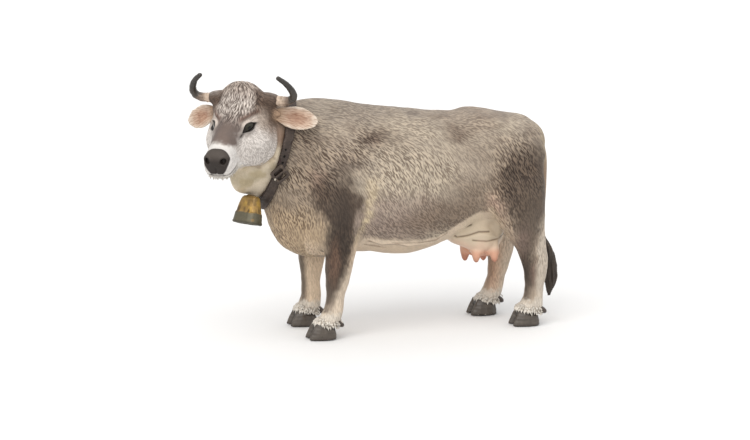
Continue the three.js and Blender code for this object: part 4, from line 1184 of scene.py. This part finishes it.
def face(p):
    f0, a0, u0 = to_head(p)
    f = f0 + 0.7 * noise(p / 3.0, 81) + 0.3 * noise(p / 0.9, 82)
    a = a0 + 0.5 * noise(p / 3.0, 83) + 0.25 * noise(p / 0.9, 84)
    u = u0 + 0.5 * noise(p / 3.0, 85) + 0.25 * noise(p / 0.9, 86)
    out = np.abs(a)
    paint = Paint(p, (220, 212, 205))
    # throat and the skin under the jaw
    jaw_edge = above_jaw(f, u)
    throat = ramp(0.6, -0.9, jaw_edge)
    paint.over(throat, (240, 224, 198), 0.95)
    paint.over(throat * ramp(-0.6, 1.0, noise(p / 2.4, 87)), (204, 184, 148), 0.6)
    paint.spots(f, u, [(3.5, -18.5, 3.5, 2.5, 0.8, (160, 146, 108), 0.5)])
    # painted shadow just under the jaw's edge, where it stands out over the throat
    paint.over(hump(jaw_edge + 0.4, 0.7) * ramp(9, 5, f), (158, 136, 112), 0.55)
    # behind the jaw the neck's own colours begin
    neck = ramp(-7.0, -10.5, f + 0.12 * u)
    paint.over(neck * ramp(2, -3, u), (160, 138, 118), 0.9)
    # painted shade: a narrow pinkish-brown strip behind the jaw, where the neck runs in under the cheek to
    # the collar
    paint.spots(f, u, [(-9.0, -10, 2.4, 9, 0.8, (150, 118, 98), 0.7)])
    # forehead
    top = ramp(10.2, 7.4, out) * ramp(7.0, 2.0, f) * ramp(-1, 1.2, u)
    paint.over(top, (176, 165, 156), 0.9)
    paint.over(top * ramp(-6, -12, f), (152, 137, 126), 0.75)
    # the dark bridge of the nose, from between the eyes to the muzzle
    bridge = ramp(-3.5, 5.0, f) * ramp(13.5, 10.2, f + 0.08 * out * out)
    bridge = bridge * ramp(6.6, 3.4, out - 0.1 * np.maximum(4 - f, 0)) * ramp(-2.4, 1.0, u0)
    paint.over(bridge, (92, 74, 66), 0.92)
    paint.over(bridge * ramp(3.0, 0.4, out), (120, 102, 92), 0.5)
    # muzzle
    paint.over(ramp(12.4, 13.6, f + 0.1 * out * out), (232, 227, 222), 0.9)
    paint.over(ramp(10.5, 13.0, f) * ramp(-4.9, -5.6, u0), (232, 226, 216), 0.9)
    # temples and the roots of horns and ears
    paint.spots(f, u, [(-8.0, -3.0, 4.5, 6.0, 0.95, (160, 140, 124), 0.75)], ramp(6, 8.5, out))
    paint.spots(f, u, [(-10.6, 0.5, 5.8, 6.6, 0.6, (88, 68, 54), 0.97)], ramp(5.2, 7.0, out))
    for side in SIDES:
        root, way, _, _ = ears[side]
        gap = np.linalg.norm(p - (root + 1.6 * way), axis=1)
        paint.over(ramp(3.4, 1.4, gap), (176, 146, 120), 0.8)
        s, v, w = eye_places(p, side)
        near = (np.abs(w) < 5) & (a0 * side > 0)
        # pale lid and the pale skin behind it
        paint.spots(s, v, [(-6.5, 0.5, 3.0, 3.0, 0.9, (184, 168, 154), 0.8)], near)
        lid = hump(v - 1.95 + 0.1 * np.abs(s + 2), 0.95) * ramp(-6.6, -3.6, s) * ramp(3.4, 0.6, s)
        paint.over(lid * near, (228, 214, 202), 0.95)
        # the brown line of the brow over it
        brow = np.interp(s, (-8.2, -6.3, -2.9, 0.8, 3.0), (1.9, 3.0, 3.35, 3.05, 2.4))
        line = hump(v - brow - 0.3, 0.85) * ramp(-8.6, -6.0, s) * ramp(3.6, 0.5, s)
        paint.over(line * near, (106, 82, 70), 0.95)
        # shadow under the eye, the dark corner to the nose and the dark rim of the lids
        under = hump(v + 1.7, 0.7) * ramp(-3.6, -1, s) * ramp(4.6, 2.5, s)
        paint.over(under * near, (150, 138, 130), 0.45)
        corner = oval_hump(s - 4.3, 1.7, v + 0.55 + 0.25 * (s - 3), 0.6)
        paint.over(corner * near, (60, 50, 44), 0.9)
        paint.over(ramp(1.36, 1.08, eye_ring(s, v)) * near, (36, 30, 26))
    # nose pad, nostrils and mouth
    edge = nose_edge(f0, a0, u0)
    pad = ramp(0.1, -0.6, edge)
    paint.over(ramp(0.12, -0.22, edge), (54, 46, 41))
    # a painted highlight on the top of the nose pad
    paint.spots(f0, u0, [(17.2, 2.6, 2.5, 1.4, 0.8, (96, 86, 78), 0.5)], pad)
    paint.over(pad * ramp(-1.5, -3.6, u0), (48, 40, 36), 0.6)
    for side in SIDES:
        paint.over(ramp(1.3, 0.4, nostril(f0, a0, u0, side, 1.5, 1.1)), (34, 28, 24), 0.8)
    gap, along = nearest_on_line(np.stack([f0, np.abs(a0), u0], 1), MOUTH)
    paint.over(hump(gap, 0.5) * (u0 < 0) * ramp(2.0, 5.5, along), (62, 50, 44), 0.95)
    return paint


head_colour = face(head_points).colour
head_amount = np.clip(head_hair, 0, 1)
make("head_skin", head_points, head_quads, HEAD_PAINT, ("head",), head_colour, head_relief, head_way,
     head_amount)


# Eyes: balls set back behind the skin and cut to the almond between the lids

EYE_HALF = np.array([1.75, 3.9, 2.3])
EYE_BACK = 1.95
for side, name in zip(SIDES, ("eye_left", "eye_right")):
    middle, along, up_lid, out = eyes[side]
    shape, faces = ellipsoid(EYE_HALF, 48, 72)
    between_lids = (eye_ring(shape[:, 1], shape[:, 2]) < 1.3) & (shape[:, 0] > 0)
    faces = faces[between_lids[faces].all(1)]
    used = np.unique(faces)
    shape, faces = shape[used], np.searchsorted(used, faces)
    placed = middle - EYE_BACK * out + shape[:, :1] * out + shape[:, 1:2] * along + shape[:, 2:] * up_lid
    s, v = shape[:, 1], shape[:, 2]
    iris = np.sqrt((s / 1.75) ** 2 + (v / 1.5) ** 2)
    pupil = np.sqrt((s / 1.5) ** 2 + (v / 1.1) ** 2)
    paint = Paint(placed, (34, 27, 20))
    paint.over(ramp(1.1, 0.85, iris) * ramp(-0.9, 0.6, v), (52, 49, 36))
    paint.over(ramp(0.62, 0.45, pupil), (8, 7, 6))
    make(name, placed, faces, EYE_PAINT, (), paint.colour)


# Horns and ears

# The horn's middle line: forward, out and up from its root, in parts of its size
HORN_LINE = [
    (0, -0.4, 0), (0, 0, 0), (-0.04, 0.5, -0.06), (-0.06, 0.87, -0.03), (-0.07, 1, 0.18), (-0.07, 0.93, 0.5),
    (-0.06, 0.75, 0.78), (-0.05, 0.5, 1),
]
HORN_SIZE = 9.4
# The line starts this far inside the head
HORN_START = 3.76
HORN_RING_PITCH = 1.1

for side, name in zip(SIDES, ("horn_left", "horn_right")):
    ps, qs, ns = smooth_piece(name, FINE_VOXEL, 0.3)
    line = [horn_place(side, *(HORN_SIZE * offset for offset in place)) for place in HORN_LINE]
    along = nearest_on_line(ps, line)[1] - HORN_START
    rings = np.sin(along * TURN / HORN_RING_PITCH + 0.8 * noise(ps / 1.6, 91)) * ramp(7.5, 3.0, along)
    strokes = noise(np.stack([along / 5.0, ps @ ACROSS / 0.45, ps @ UPWARD / 0.45], 1), 92)
    ps = pushed_out(ps, ns, 0.07 * rings + 0.05 * strokes)
    wobble = along + 0.5 * noise(ps / 1.5, 93)
    paint = Paint(ps, (216, 192, 170))
    for start, end, tone, strength in ((3.0, 0.8, (122, 96, 78), 0.85), (4.4, 6.6, (126, 104, 88), 0.9),
                                       (6.2, 8.8, (64, 58, 52), 0.95), (11, 14, (46, 42, 38), 0.7)):
        paint.over(ramp(start, end, wobble), tone, strength)
    paint.shade(1 + 0.10 * strokes - 0.06 * np.maximum(rings, 0))
    make(name + "_cone", ps, qs, HORN_PAINT, (name,), paint.colour, 0.8 * strokes)

EAR_LONG, EAR_WIDE = 15.8, 8
# The ear's half width in parts of its width, at parts of its length
EAR_HALF = [
    (-0.14, 0.18), (0, 0.22), (0.1, 0.27), (0.22, 0.37), (0.38, 0.47), (0.56, 0.5), (0.73, 0.44), (0.88, 0.3),
    (0.96, 0.16), (1, 0.05),
]
# How much the hair of the ear spreads out from its middle line
EAR_FAN = 0.09

for side, name in zip(SIDES, ("ear_left", "ear_right")):
    ps, qs, ns = smooth_piece(name, FINE_VOXEL, 0.26)
    root, way, opening, wide = ears[side]

    def ear_lie(p):
        return np.tile(way, (len(p), 1)) + EAR_FAN * ((p - root) @ wide)[:, None] * wide

    q = ps - root
    along, across = q @ way, q @ wide
    half = np.interp(along / EAR_LONG, *zip(*EAR_HALF)) * EAR_WIDE
    rim = np.abs(across) / np.maximum(half, 0.4)
    inner = ramp(-0.1, 0.35, ns @ opening)
    strokes = streaks(ps, ns, ear_lie, 0.5, 3.4, 95 + side)
    fan = ear_lie(ps)
    bend = 0.35 * oval_hump(along - 9.0, 4.5, across, 1.7) * inner
    ps = pushed_out(ps, ns, (0.07 * strokes) + 0.22 * ramp(0.72, 0.95, rim) * inner - bend)
    paint = Paint(ps, (206, 182, 154))
    paint.over(0.5 + 0.5 * noise(ps / 2.0, 97), (182, 158, 132), 0.5)
    paint.over(inner, (226, 202, 182), 0.95)
    pink = ramp(1.25, 0.25, np.sqrt(((along - 8.4) / 5.4) ** 2 + (across / 3.0) ** 2))
    paint.over(inner * pink, (184, 140, 114), 0.75)
    paint.over(inner * pink * ramp(-0.1, 1.6, noise(ps / 0.9, 98)), (158, 112, 88), 0.4)
    paint.over(ramp(0.66, 0.95, rim) * ramp(1, 4, along), (236, 222, 206), 0.85)
    paint.over(ramp(12.5, 15, along) * inner, (236, 222, 206), 0.85)
    paint.over(ramp(3.4, 0.8, along) * (1 - 0.6 * inner), (156, 124, 98), 0.6)
    paint.over(ramp(6.2, 1.8, along), (172, 142, 116), 0.85)
    amount = np.full(len(ps), 0.8)
    make(name + "_shell", ps, qs, EAR_PAINT, (name,), paint.colour, 0.7 * strokes, fan, amount)

# Tail

TAIL_WAY = np.array([0.05, 0.0, -1.0])


def tail_lie(p):
    return np.tile(TAIL_WAY, (len(p), 1)) + 0.18 * noise(p / 5.0, 101)[:, None] * np.array([1.0, 1.0, 0])


ps, qs, ns = smooth_piece("tail", TAIL_VOXEL, 0.35)
switch = ramp(31, 25, ps[:, 2])
strands = streaks(ps, ns, tail_lie, 0.85, 11.0, 102)
fine_strands = streaks(ps, ns, tail_lie, 0.42, 5.0, 103)
tail_relief = (0.25 + 0.95 * switch) * (0.75 * np.tanh(strands) + 0.35 * fine_strands)
ps = pushed_out(ps, ns, 0.25 * tail_relief * (0.35 + 0.65 * switch))
paint = Paint(ps, (170, 146, 124))
paint.over(ramp(50, 62, ps[:, 2]), (196, 180, 152), 0.8)
paint.over(ramp(44, 33, ps[:, 2]), (112, 94, 82), 0.8)
paint.over(ramp(36, 28, ps[:, 2] + 1.5 * noise(ps / 2.5, 104)), (66, 57, 50), 0.95)
paint.over(switch * ramp(0.6, 1.9, tail_relief), (112, 96, 80), 0.6)
make("tail_hair", ps, qs, TAIL_PAINT, ("tail",), paint.colour, tail_relief)


# Collar: the strap's own ways, round the neck and across the strap

BUCKLE_MIDDLE = np.array([-38.06, -8.54, 57.96])
BUCKLE_OUT = np.array([-0.029, -0.974, -0.223])
# The strap's edges are found in this many steps round the neck
STRAP_STEPS = 48
# Where the stitches run, in parts of the strap's half width, how far apart they are and how high
STITCH_ROW, STITCH_PITCH, STITCH_RISE = 0.68, 1.15, 0.12
# The holes above the buckle: how many, how far from it the first is, and how far apart they are
HOLE_COUNT, HOLE_FIRST, HOLE_PITCH = 3, 4.6, 3.1
HOLE_DEPTH = 0.55

collar_points = triangles_of("collar")[0]
ps, qs, ns = smooth_piece("collar", FINE_VOXEL, 0.2)
middle = collar_points.mean(0)
axis = np.linalg.svd(collar_points - middle, full_matrices=False)[2][2]
if axis[0] > 0:
    axis = -axis
first = straight(np.cross(axis, (0, 1, 0)))
second = np.cross(axis, first)


def strap_ways(p):
    """The angle round the neck, the place across the strap and the distance from the neck's middle."""
    q = p - middle
    return np.arctan2(q @ second, q @ first), q @ axis, np.hypot(q @ second, q @ first)


turn, axial, _ = strap_ways(collar_points)
step = ((turn + math.pi) / TURN * STRAP_STEPS).astype(int) % STRAP_STEPS
filled = [k for k in range(STRAP_STEPS) if (step == k).any()]
lows = np.array([axial[step == k].min() for k in filled])
highs = np.array([axial[step == k].max() for k in filled])
angles = (np.array(filled) + 0.5) / STRAP_STEPS * 2 * math.pi - math.pi
angles = np.concatenate([angles - TURN, angles, angles + TURN])
turn, axial, radius = strap_ways(ps)
across = axial - np.interp(turn, angles, np.tile((lows + highs) / 2, 3))
rim = np.abs(across) / np.interp(turn, angles, np.tile((highs - lows) / 2, 3))
q = ps - middle
radial = (q @ first)[:, None] * first + (q @ second)[:, None] * second
outer = ramp(0.1, 0.5, (ns * unit(radial)).sum(1))
edge_bead = 0.16 * hump(rim - 0.86, 0.10)
groove = -0.12 * hump(rim - STITCH_ROW, 0.06)
beat = ramp(0.1, 0.7, np.sin(turn * radius.mean() * TURN / STITCH_PITCH))
stitches = STITCH_RISE * hump(rim - STITCH_ROW, 0.07) * beat
leather = 0.04 * noise(ps / 0.8, 111)
buckle_turn = strap_ways(BUCKLE_MIDDLE[None])[0][0]
# The way round the neck that climbs from the buckle
climbs = []
for sign in (1, -1):
    at = buckle_turn + sign * 6.0 / radius.mean()
    climbs.append((math.cos(at) * first[2] + math.sin(at) * second[2], sign))
upward_sign = max(climbs)[1]
holes = np.zeros(len(ps))
for k in range(HOLE_COUNT):
    at = buckle_turn + upward_sign * (HOLE_FIRST + HOLE_PITCH * k) / radius.mean()
    holes = np.maximum(holes, ramp(0.5, 0.3, np.hypot(half_turn(turn - at) * radius, across)))
ps = pushed_out(ps, ns, outer * (edge_bead + groove + stitches + leather - HOLE_DEPTH * holes))
paint = Paint(ps, (64, 53, 47))
paint.over(0.5 + 0.5 * noise(ps / 2.2, 112), (90, 76, 67), 0.6)
paint.over(ramp(0.72, 0.86, rim), (54, 42, 38), 0.75)
# painted shade along the strap's edges
paint.over(ramp(0.9, 1.02, rim), (52, 32, 28), 0.8)
paint.over(outer * (stitches / STITCH_RISE), (120, 104, 92), 0.4)
paint.over(outer * holes, (26, 22, 20), 0.95)
# painted shade on the strap's sides and on the faces that turn in toward the neck
paint.over(1 - outer, (58, 36, 32), 0.8)
make("collar_strap", ps, qs, STRAP_PAINT, ("collar",), paint.colour)

# Buckle
ps, qs, ns = smooth_piece("buckle", BUCKLE_VOXEL, 0.16, 1.0, 1.0)
paint = Paint(ps, (78, 66, 58))
paint.over(ramp(0.2, 0.9, noise(ps / 0.9, 121)), (116, 100, 86), 0.5)
# painted shade on the frame's sides and back, which face away from the strap's outside
paint.over(ramp(0.2, -0.5, ns @ BUCKLE_OUT), (58, 48, 44), 0.8)
make("buckle_frame", ps, qs, BUCKLE_PAINT, ("buckle",), paint.colour)

# The bright stud on the strap just below the buckle, seated on what lies under it
STUD_AWAY = np.array([-1.7, 0.42, -1.63])
STUD_RADIUS = 0.42
STUD_SEAT = 0.7
seats = np.concatenate([ps, collar_points]) - BUCKLE_MIDDLE
under = np.linalg.norm(seats - np.outer(seats @ BUCKLE_OUT, BUCKLE_OUT) - STUD_AWAY, axis=1) < STUD_SEAT
level = (seats[under] @ BUCKLE_OUT).max()
shape, faces = ellipsoid(np.array([STUD_RADIUS * 0.6, STUD_RADIUS, STUD_RADIUS]), 12, 20)
stud_side = straight(np.cross(BUCKLE_OUT, (0, 0, 1)))
stud_ways = np.array([BUCKLE_OUT, stud_side, np.cross(stud_side, BUCKLE_OUT)])
placed = BUCKLE_MIDDLE + STUD_AWAY + level * BUCKLE_OUT + shape @ stud_ways
make("strap_stud", placed, faces, PIN_PAINT)

# Bell: down is how far a point lies below its top
BELL_TOP = np.array([-46.712, -4.224, 50.1])
BELL_UP = np.array([0.223, 0.162, 0.961])
# How far down its two ridges are
UPPER_RIDGE, LOWER_RIDGE = 5.9, 9.0
ps, qs, ns = smooth_piece("bell", FINE_VOXEL, 0.22, 1.0, 1.0)
down = -(ps - BELL_TOP) @ BELL_UP
dents = 0.05 * noise(ps / 1.8, 131)
ridges = 0.12 * hump(down - UPPER_RIDGE, 0.3) + 0.14 * hump(down - LOWER_RIDGE, 0.35)
ps = pushed_out(ps, ns, (dents + ridges) * (down > 0.6))
paint = Paint(ps, (174, 138, 76))
paint.over(ramp(0.2, 1.0, noise(ps / (1.2, 1.2, 2.2), 134)), (122, 98, 56), 0.6)
paint.over(ramp(0.2, 1.0, noise(ps / 1.5, 132)), (214, 174, 84), 0.7)
paint.over(ramp(2.0, 0.6, down), (150, 120, 68), 0.6)
upright = np.outer(ps @ BELL_UP, BELL_UP)
streak = noise((ps - upright) / 0.9 + upright / 5.0, 135)
paint.over(ramp(0.3, 1.4, streak) * ramp(1.0, 3.0, down), (70, 50, 28), 0.7)
paint.over(ramp(5.6, 6.1, down + 0.15 * noise(ps / 1.0, 133)), (100, 96, 78), 0.95)
paint.over(ramp(5.8, 6.4, down) * ramp(0.5, 1.3, noise(ps / 1.3, 136)), (150, 116, 62), 0.6)
paint.over(ramp(8.2, 9.4, down), (74, 70, 56), 0.7)
paint.over(ramp(0.4, -0.2, down), (110, 92, 62), 0.8)
make("bell_shell", ps, qs, BELL_PAINT, ("bell",), paint.colour)


# Hooves with their dewclaws, and the locks of white hair that hang over them

# The leg's points below this height set the size of the hoof's block, which goes a little below the floor
# and up to its own top
FOOT_LIMIT, BLOCK_LOW, BLOCK_TOP = 9.5, -1.0, 11.0
# The soft end of the hoof starts this far ahead of the heel and this high
PAD_AHEAD, PAD_LOW = 0.2, 4.2
HOOF_RING_PITCH = 1.25
# How far a dewclaw lies behind the heel and beside the middle of the foot, and how high
CLAW_BEHIND, CLAW_ASIDE, CLAW_UP = 1.1, 1.9, 5.3
CLAW_HALF = np.array([2.1, 1.15, 1.1])
# The ways along, across and out of a dewclaw
CLAW_WAYS = ((0.85, 0.0, -0.53), (0, 1.0, 0), (0.53, 0.0, 0.85))


def hoof(leg):
    _, y_mid, toe, heel = feet[leg]
    foot = triangles_of(leg)[0]
    foot = foot[foot[:, 2] < FOOT_LIMIT]
    low = foot.min(0) - 1.0
    high = foot.max(0) + 1.0
    low[2] = BLOCK_LOW
    high[2] = BLOCK_TOP
    block = Block(low, high, FINE_VOXEL)
    field = distance(block, leg, 1.2)
    X, _, Z = block.points()
    # above its top edge the hoof is cut away, with a soft end behind the heel
    claws = np.maximum(field, Z - hoof_line(X, leg))
    back = np.maximum(field, np.maximum((heel - PAD_AHEAD) - X, 0))
    claws = blur(np.minimum(claws, np.maximum(back, PAD_LOW - Z)), 0.17 / FINE_VOXEL)
    ps, qs = surface(block, claws)
    ps = relax(ps, qs, 1)
    ns = normals_of(ps, qs)
    slope = ps[:, 2] + 0.12 * (ps[:, 0] - toe)
    rings = np.sin(slope * TURN / HOOF_RING_PITCH + 0.6 * noise(ps / 2.0, 141))
    strokes = noise(ps / (0.8, 0.8, 3.5), 142)
    ps = pushed_out(ps, ns, (0.018 * rings + 0.03 * strokes) * ramp(0.3, 1.2, ps[:, 2]))
    ps[:, 2] = np.maximum(ps[:, 2], 0)
    x, z = ps[:, 0], ps[:, 2]
    paint = Paint(ps, (96, 87, 78))
    paint.over(0.5 + 0.5 * noise(ps / (3.0, 3.0, 0.6), 143), (74, 66, 59), 0.6)
    paint.over(ramp(1.1, 0.2, z), (70, 62, 55), 0.7)
    paint.over(hump(ps[:, 1] - y_mid, 0.75), (34, 28, 24), 0.92)
    # painted shadow just below the hoof's top edge, where the hair hangs over it
    paint.over(ramp(1.3, 0.1, hoof_line(x, leg) - z), (62, 54, 48), 0.75)
    paint.over(ramp(heel - 0.1, heel + 0.5, x) * ramp(4.0, 5.0, z), (66, 55, 48), 0.9)
    make("hoof_" + leg, ps, qs, HOOF_PAINT, (), paint.colour, 0.8 * strokes)
    # the two dewclaws behind the fetlock
    shape, faces = ellipsoid(CLAW_HALF, 12, 16)
    along, across, out = (shape[:, k:k + 1] * np.array(way) for k, way in enumerate(CLAW_WAYS))
    for side, end in zip(SIDES, ("near", "far")):
        placed = np.array([heel + CLAW_BEHIND, y_mid + CLAW_ASIDE * side, CLAW_UP]) + along + across + out
        paint = Paint(placed, (74, 62, 54))
        level = np.zeros(len(placed))
        make(f"dewclaw_{leg}_{end}", placed, faces, HOOF_PAINT, (), paint.colour, level)


LOCK_SIDES, LOCK_RINGS = 6, 5


class Locks:
    """Tapered locks of hair in one mesh, each bending down as it leaves the skin."""
    def __init__(self):
        self.points, self.faces, self.colours = [], [], []

    def add(self, root, way, out, length, width, tones):
        """Tones gives the colour of each ring, from the root to the tip."""
        across = straight(np.cross(way, out))
        start = len(self.points)
        for i, tone in enumerate(tones):
            t = i / LOCK_RINGS
            centre = root + way * (length * t) + out * (0.5 * math.sin(math.pi * min(t * 1.1, 1)) * width)
            wide = width * (0.75 + 0.5 * math.sin(math.pi * min(t + 0.25, 1))) * (1 - t ** 2.2) + 0.02
            for j in range(LOCK_SIDES):
                angle = TURN * j / LOCK_SIDES
                offset = across * (wide / 2 * math.cos(angle)), out * (wide / 2.6 * math.sin(angle))
                self.points.append(centre + offset[0] + offset[1])
                self.colours.append(tone)
        self.faces += ring_faces(start, LOCK_RINGS, LOCK_SIDES)

    def finish(self, name, lowest):
        points = np.array(self.points)
        points[:, 2] = np.maximum(points[:, 2], lowest)
        make(name, points, np.array(self.faces), LOCK_PAINT, (), np.array(self.colours))


# The rows of the fringe: how far above the hoof's edge they are rooted, and how many locks each has
FRINGE_ROWS = ((0.45, 52), (1.2, 46), (2.0, 36))
# How far from its row's height a lock may be rooted, and how deep all locks start in the skin
ROW_HALF = 0.45
FRINGE_ROOT, CHIN_ROOT = 0.12, 0.15
CHIN_COUNT = 90


def fringe(leg, hide, ns, seed):
    """Locks in three rows round the foot, rooted in the hide just above the hoof."""
    random = np.random.default_rng(seed)
    above = hide[:, 2] - hoof_line(hide[:, 0], leg)
    hair = Locks()
    for lift, count in FRINGE_ROWS:
        band = np.where((np.abs(above - lift) < ROW_HALF) & (np.hypot(ns[:, 0], ns[:, 1]) > 0.3))[0]
        if not len(band):
            continue
        angle = np.arctan2(hide[band, 1] - feet[leg][1], hide[band, 0] - feet[leg][0])
        for k in range(count):
            want = TURN * (k + random.uniform(-0.3, 0.3)) / count - math.pi
            pick = band[np.argmin(np.abs(half_turn(angle - want)))]
            out = straight(ns[pick] * (1, 1, 0.4))
            way = straight(np.array([0, 0, -1.0]) + 0.62 * out + random.normal(0, 0.12, 3))
            length = random.uniform(1.2, 1.8)
            width = random.uniform(0.5, 0.78)
            tone = random.uniform(0.74, 1.08)
            # each lock is painted darker towards its root: painted shade where the locks crowd against the
            # skin
            base = rgb(236, 222, 204) * tone * 0.68
            tip = rgb(244, 236, 224) * tone
            tones = [base + (tip - base) * min(1, i / 2) for i in range(LOCK_RINGS + 1)]
            hair.add(hide[pick] - ns[pick] * FRINGE_ROOT, way, out, length, width, tones)
    hair.finish("fringe_" + leg, 0.1)


def chin_hair(seed):
    """Short white bristles that hang from the lower lip."""
    random = np.random.default_rng(seed)
    f, a, u = to_head(head_points)
    lip = np.where((f > 12.5) & (f < 19.5) & (u < -5.2) & (u > -6.6) & (np.abs(a) < 5))[0]
    hair = Locks()
    for _ in range(CHIN_COUNT):
        pick = random.choice(lip)
        normal = head_normals[pick]
        way = straight(-0.75 * UPWARD + 0.25 * FORWARD + 0.35 * normal + random.normal(0, 0.12, 3))
        out = straight(np.cross(way, ACROSS))
        length = random.uniform(0.7, 1.3)
        width = random.uniform(0.22, 0.36)
        tone = random.uniform(0.7, 1.05)
        # each bristle is painted darker towards its root: painted shade where the hairs crowd against the lip
        tones = [rgb(236, 228, 218) * tone * (0.6 + 0.4 * min(1, i / 3)) for i in range(LOCK_RINGS + 1)]
        hair.add(head_points[pick] - normal * CHIN_ROOT, way, out, length, width, tones)
    hair.finish("chin_hair", 0)


chin_hair(161)
for k, leg in enumerate(LEGS):
    hoof(leg)
    mine = (nearest_leg == k) & (hide_points[:, 2] < FOOT_TOP)
    fringe(leg, hide_points[mine], normals[mine], 151 + k)


# The studio: a plain pale floor, a pale surround and soft lights

FLOOR_HALF = 4.0
floor_mesh = bpy.data.meshes.new("floor")
corners = [(-FLOOR_HALF, -FLOOR_HALF, 0), (FLOOR_HALF, -FLOOR_HALF, 0), (FLOOR_HALF, FLOOR_HALF, 0),
           (-FLOOR_HALF, FLOOR_HALF, 0)]
floor_mesh.from_pydata(corners, [], [(0, 1, 2, 3)])
floor = bpy.data.objects.new("floor", floor_mesh)
floor.location = (0, 0, -0.0002)
bpy.context.scene.collection.objects.link(floor)
floor_paint = bpy.data.materials.new("pale floor")
floor_paint.use_nodes = True
floor_shader = floor_paint.node_tree.nodes["Principled BSDF"]
floor_shader.inputs["Base Color"].default_value = (0.69, 0.686, 0.682, 1)
floor_shader.inputs["Roughness"].default_value = 0.8
floor.data.materials.append(floor_paint)
floor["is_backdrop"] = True

world = bpy.data.worlds.new("surround")
bpy.context.scene.world = world
world.use_nodes = True
world.node_tree.nodes["Background"].inputs["Color"].default_value = (1, 1, 1, 1)
world.node_tree.nodes["Background"].inputs["Strength"].default_value = 0.85


def wide_light(name, place, strength, spread, colour):
    """Even light from a wide source far off in one direction."""
    light = bpy.data.lights.new(name, "SUN")
    light.energy = strength
    light.angle = math.radians(spread)
    light.color = colour
    made = bpy.data.objects.new(name, light)
    made.rotation_mode = "QUATERNION"
    made.rotation_quaternion = (-Vector(place)).to_track_quat("-Z", "Y")
    bpy.context.scene.collection.objects.link(made)


wide_light("key", (-0.45, -0.6, 0.75), 2.1, 60, (1, 0.985, 0.96))
wide_light("top", (0.35, 0.05, 1.0), 1.1, 120, (1, 1, 1))

# The camera stands where the photographer stood: ahead of the cow's left side and a little above it
AZIMUTH, ELEVATION = math.radians(-18), math.radians(10)
AIM = Vector((0.213, 5.304, 37.73)) * MM
DISTANCE = 1.2
PHOTO_WIDTH, PIXELS_PER_MM = 750, 2.9
SENSOR_WIDTH = 36
level_part = math.cos(ELEVATION)
back = Vector((math.sin(AZIMUTH) * level_part, -math.cos(AZIMUTH) * level_part, math.sin(ELEVATION)))
camera_data = bpy.data.cameras.new("camera")
camera_data.sensor_width = SENSOR_WIDTH
camera_data.lens = SENSOR_WIDTH * DISTANCE / (PHOTO_WIDTH / PIXELS_PER_MM * MM)
camera_data.clip_end = 20
camera_data.dof.use_dof = False
camera = bpy.data.objects.new("camera", camera_data)
camera.location = AIM + back * DISTANCE
camera.rotation_mode = "QUATERNION"
camera.rotation_quaternion = (-back).to_track_quat("-Z", "Y")
bpy.context.scene.collection.objects.link(camera)
bpy.context.scene.camera = camera
bpy.context.scene.view_settings.view_transform = "Standard"

low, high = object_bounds()
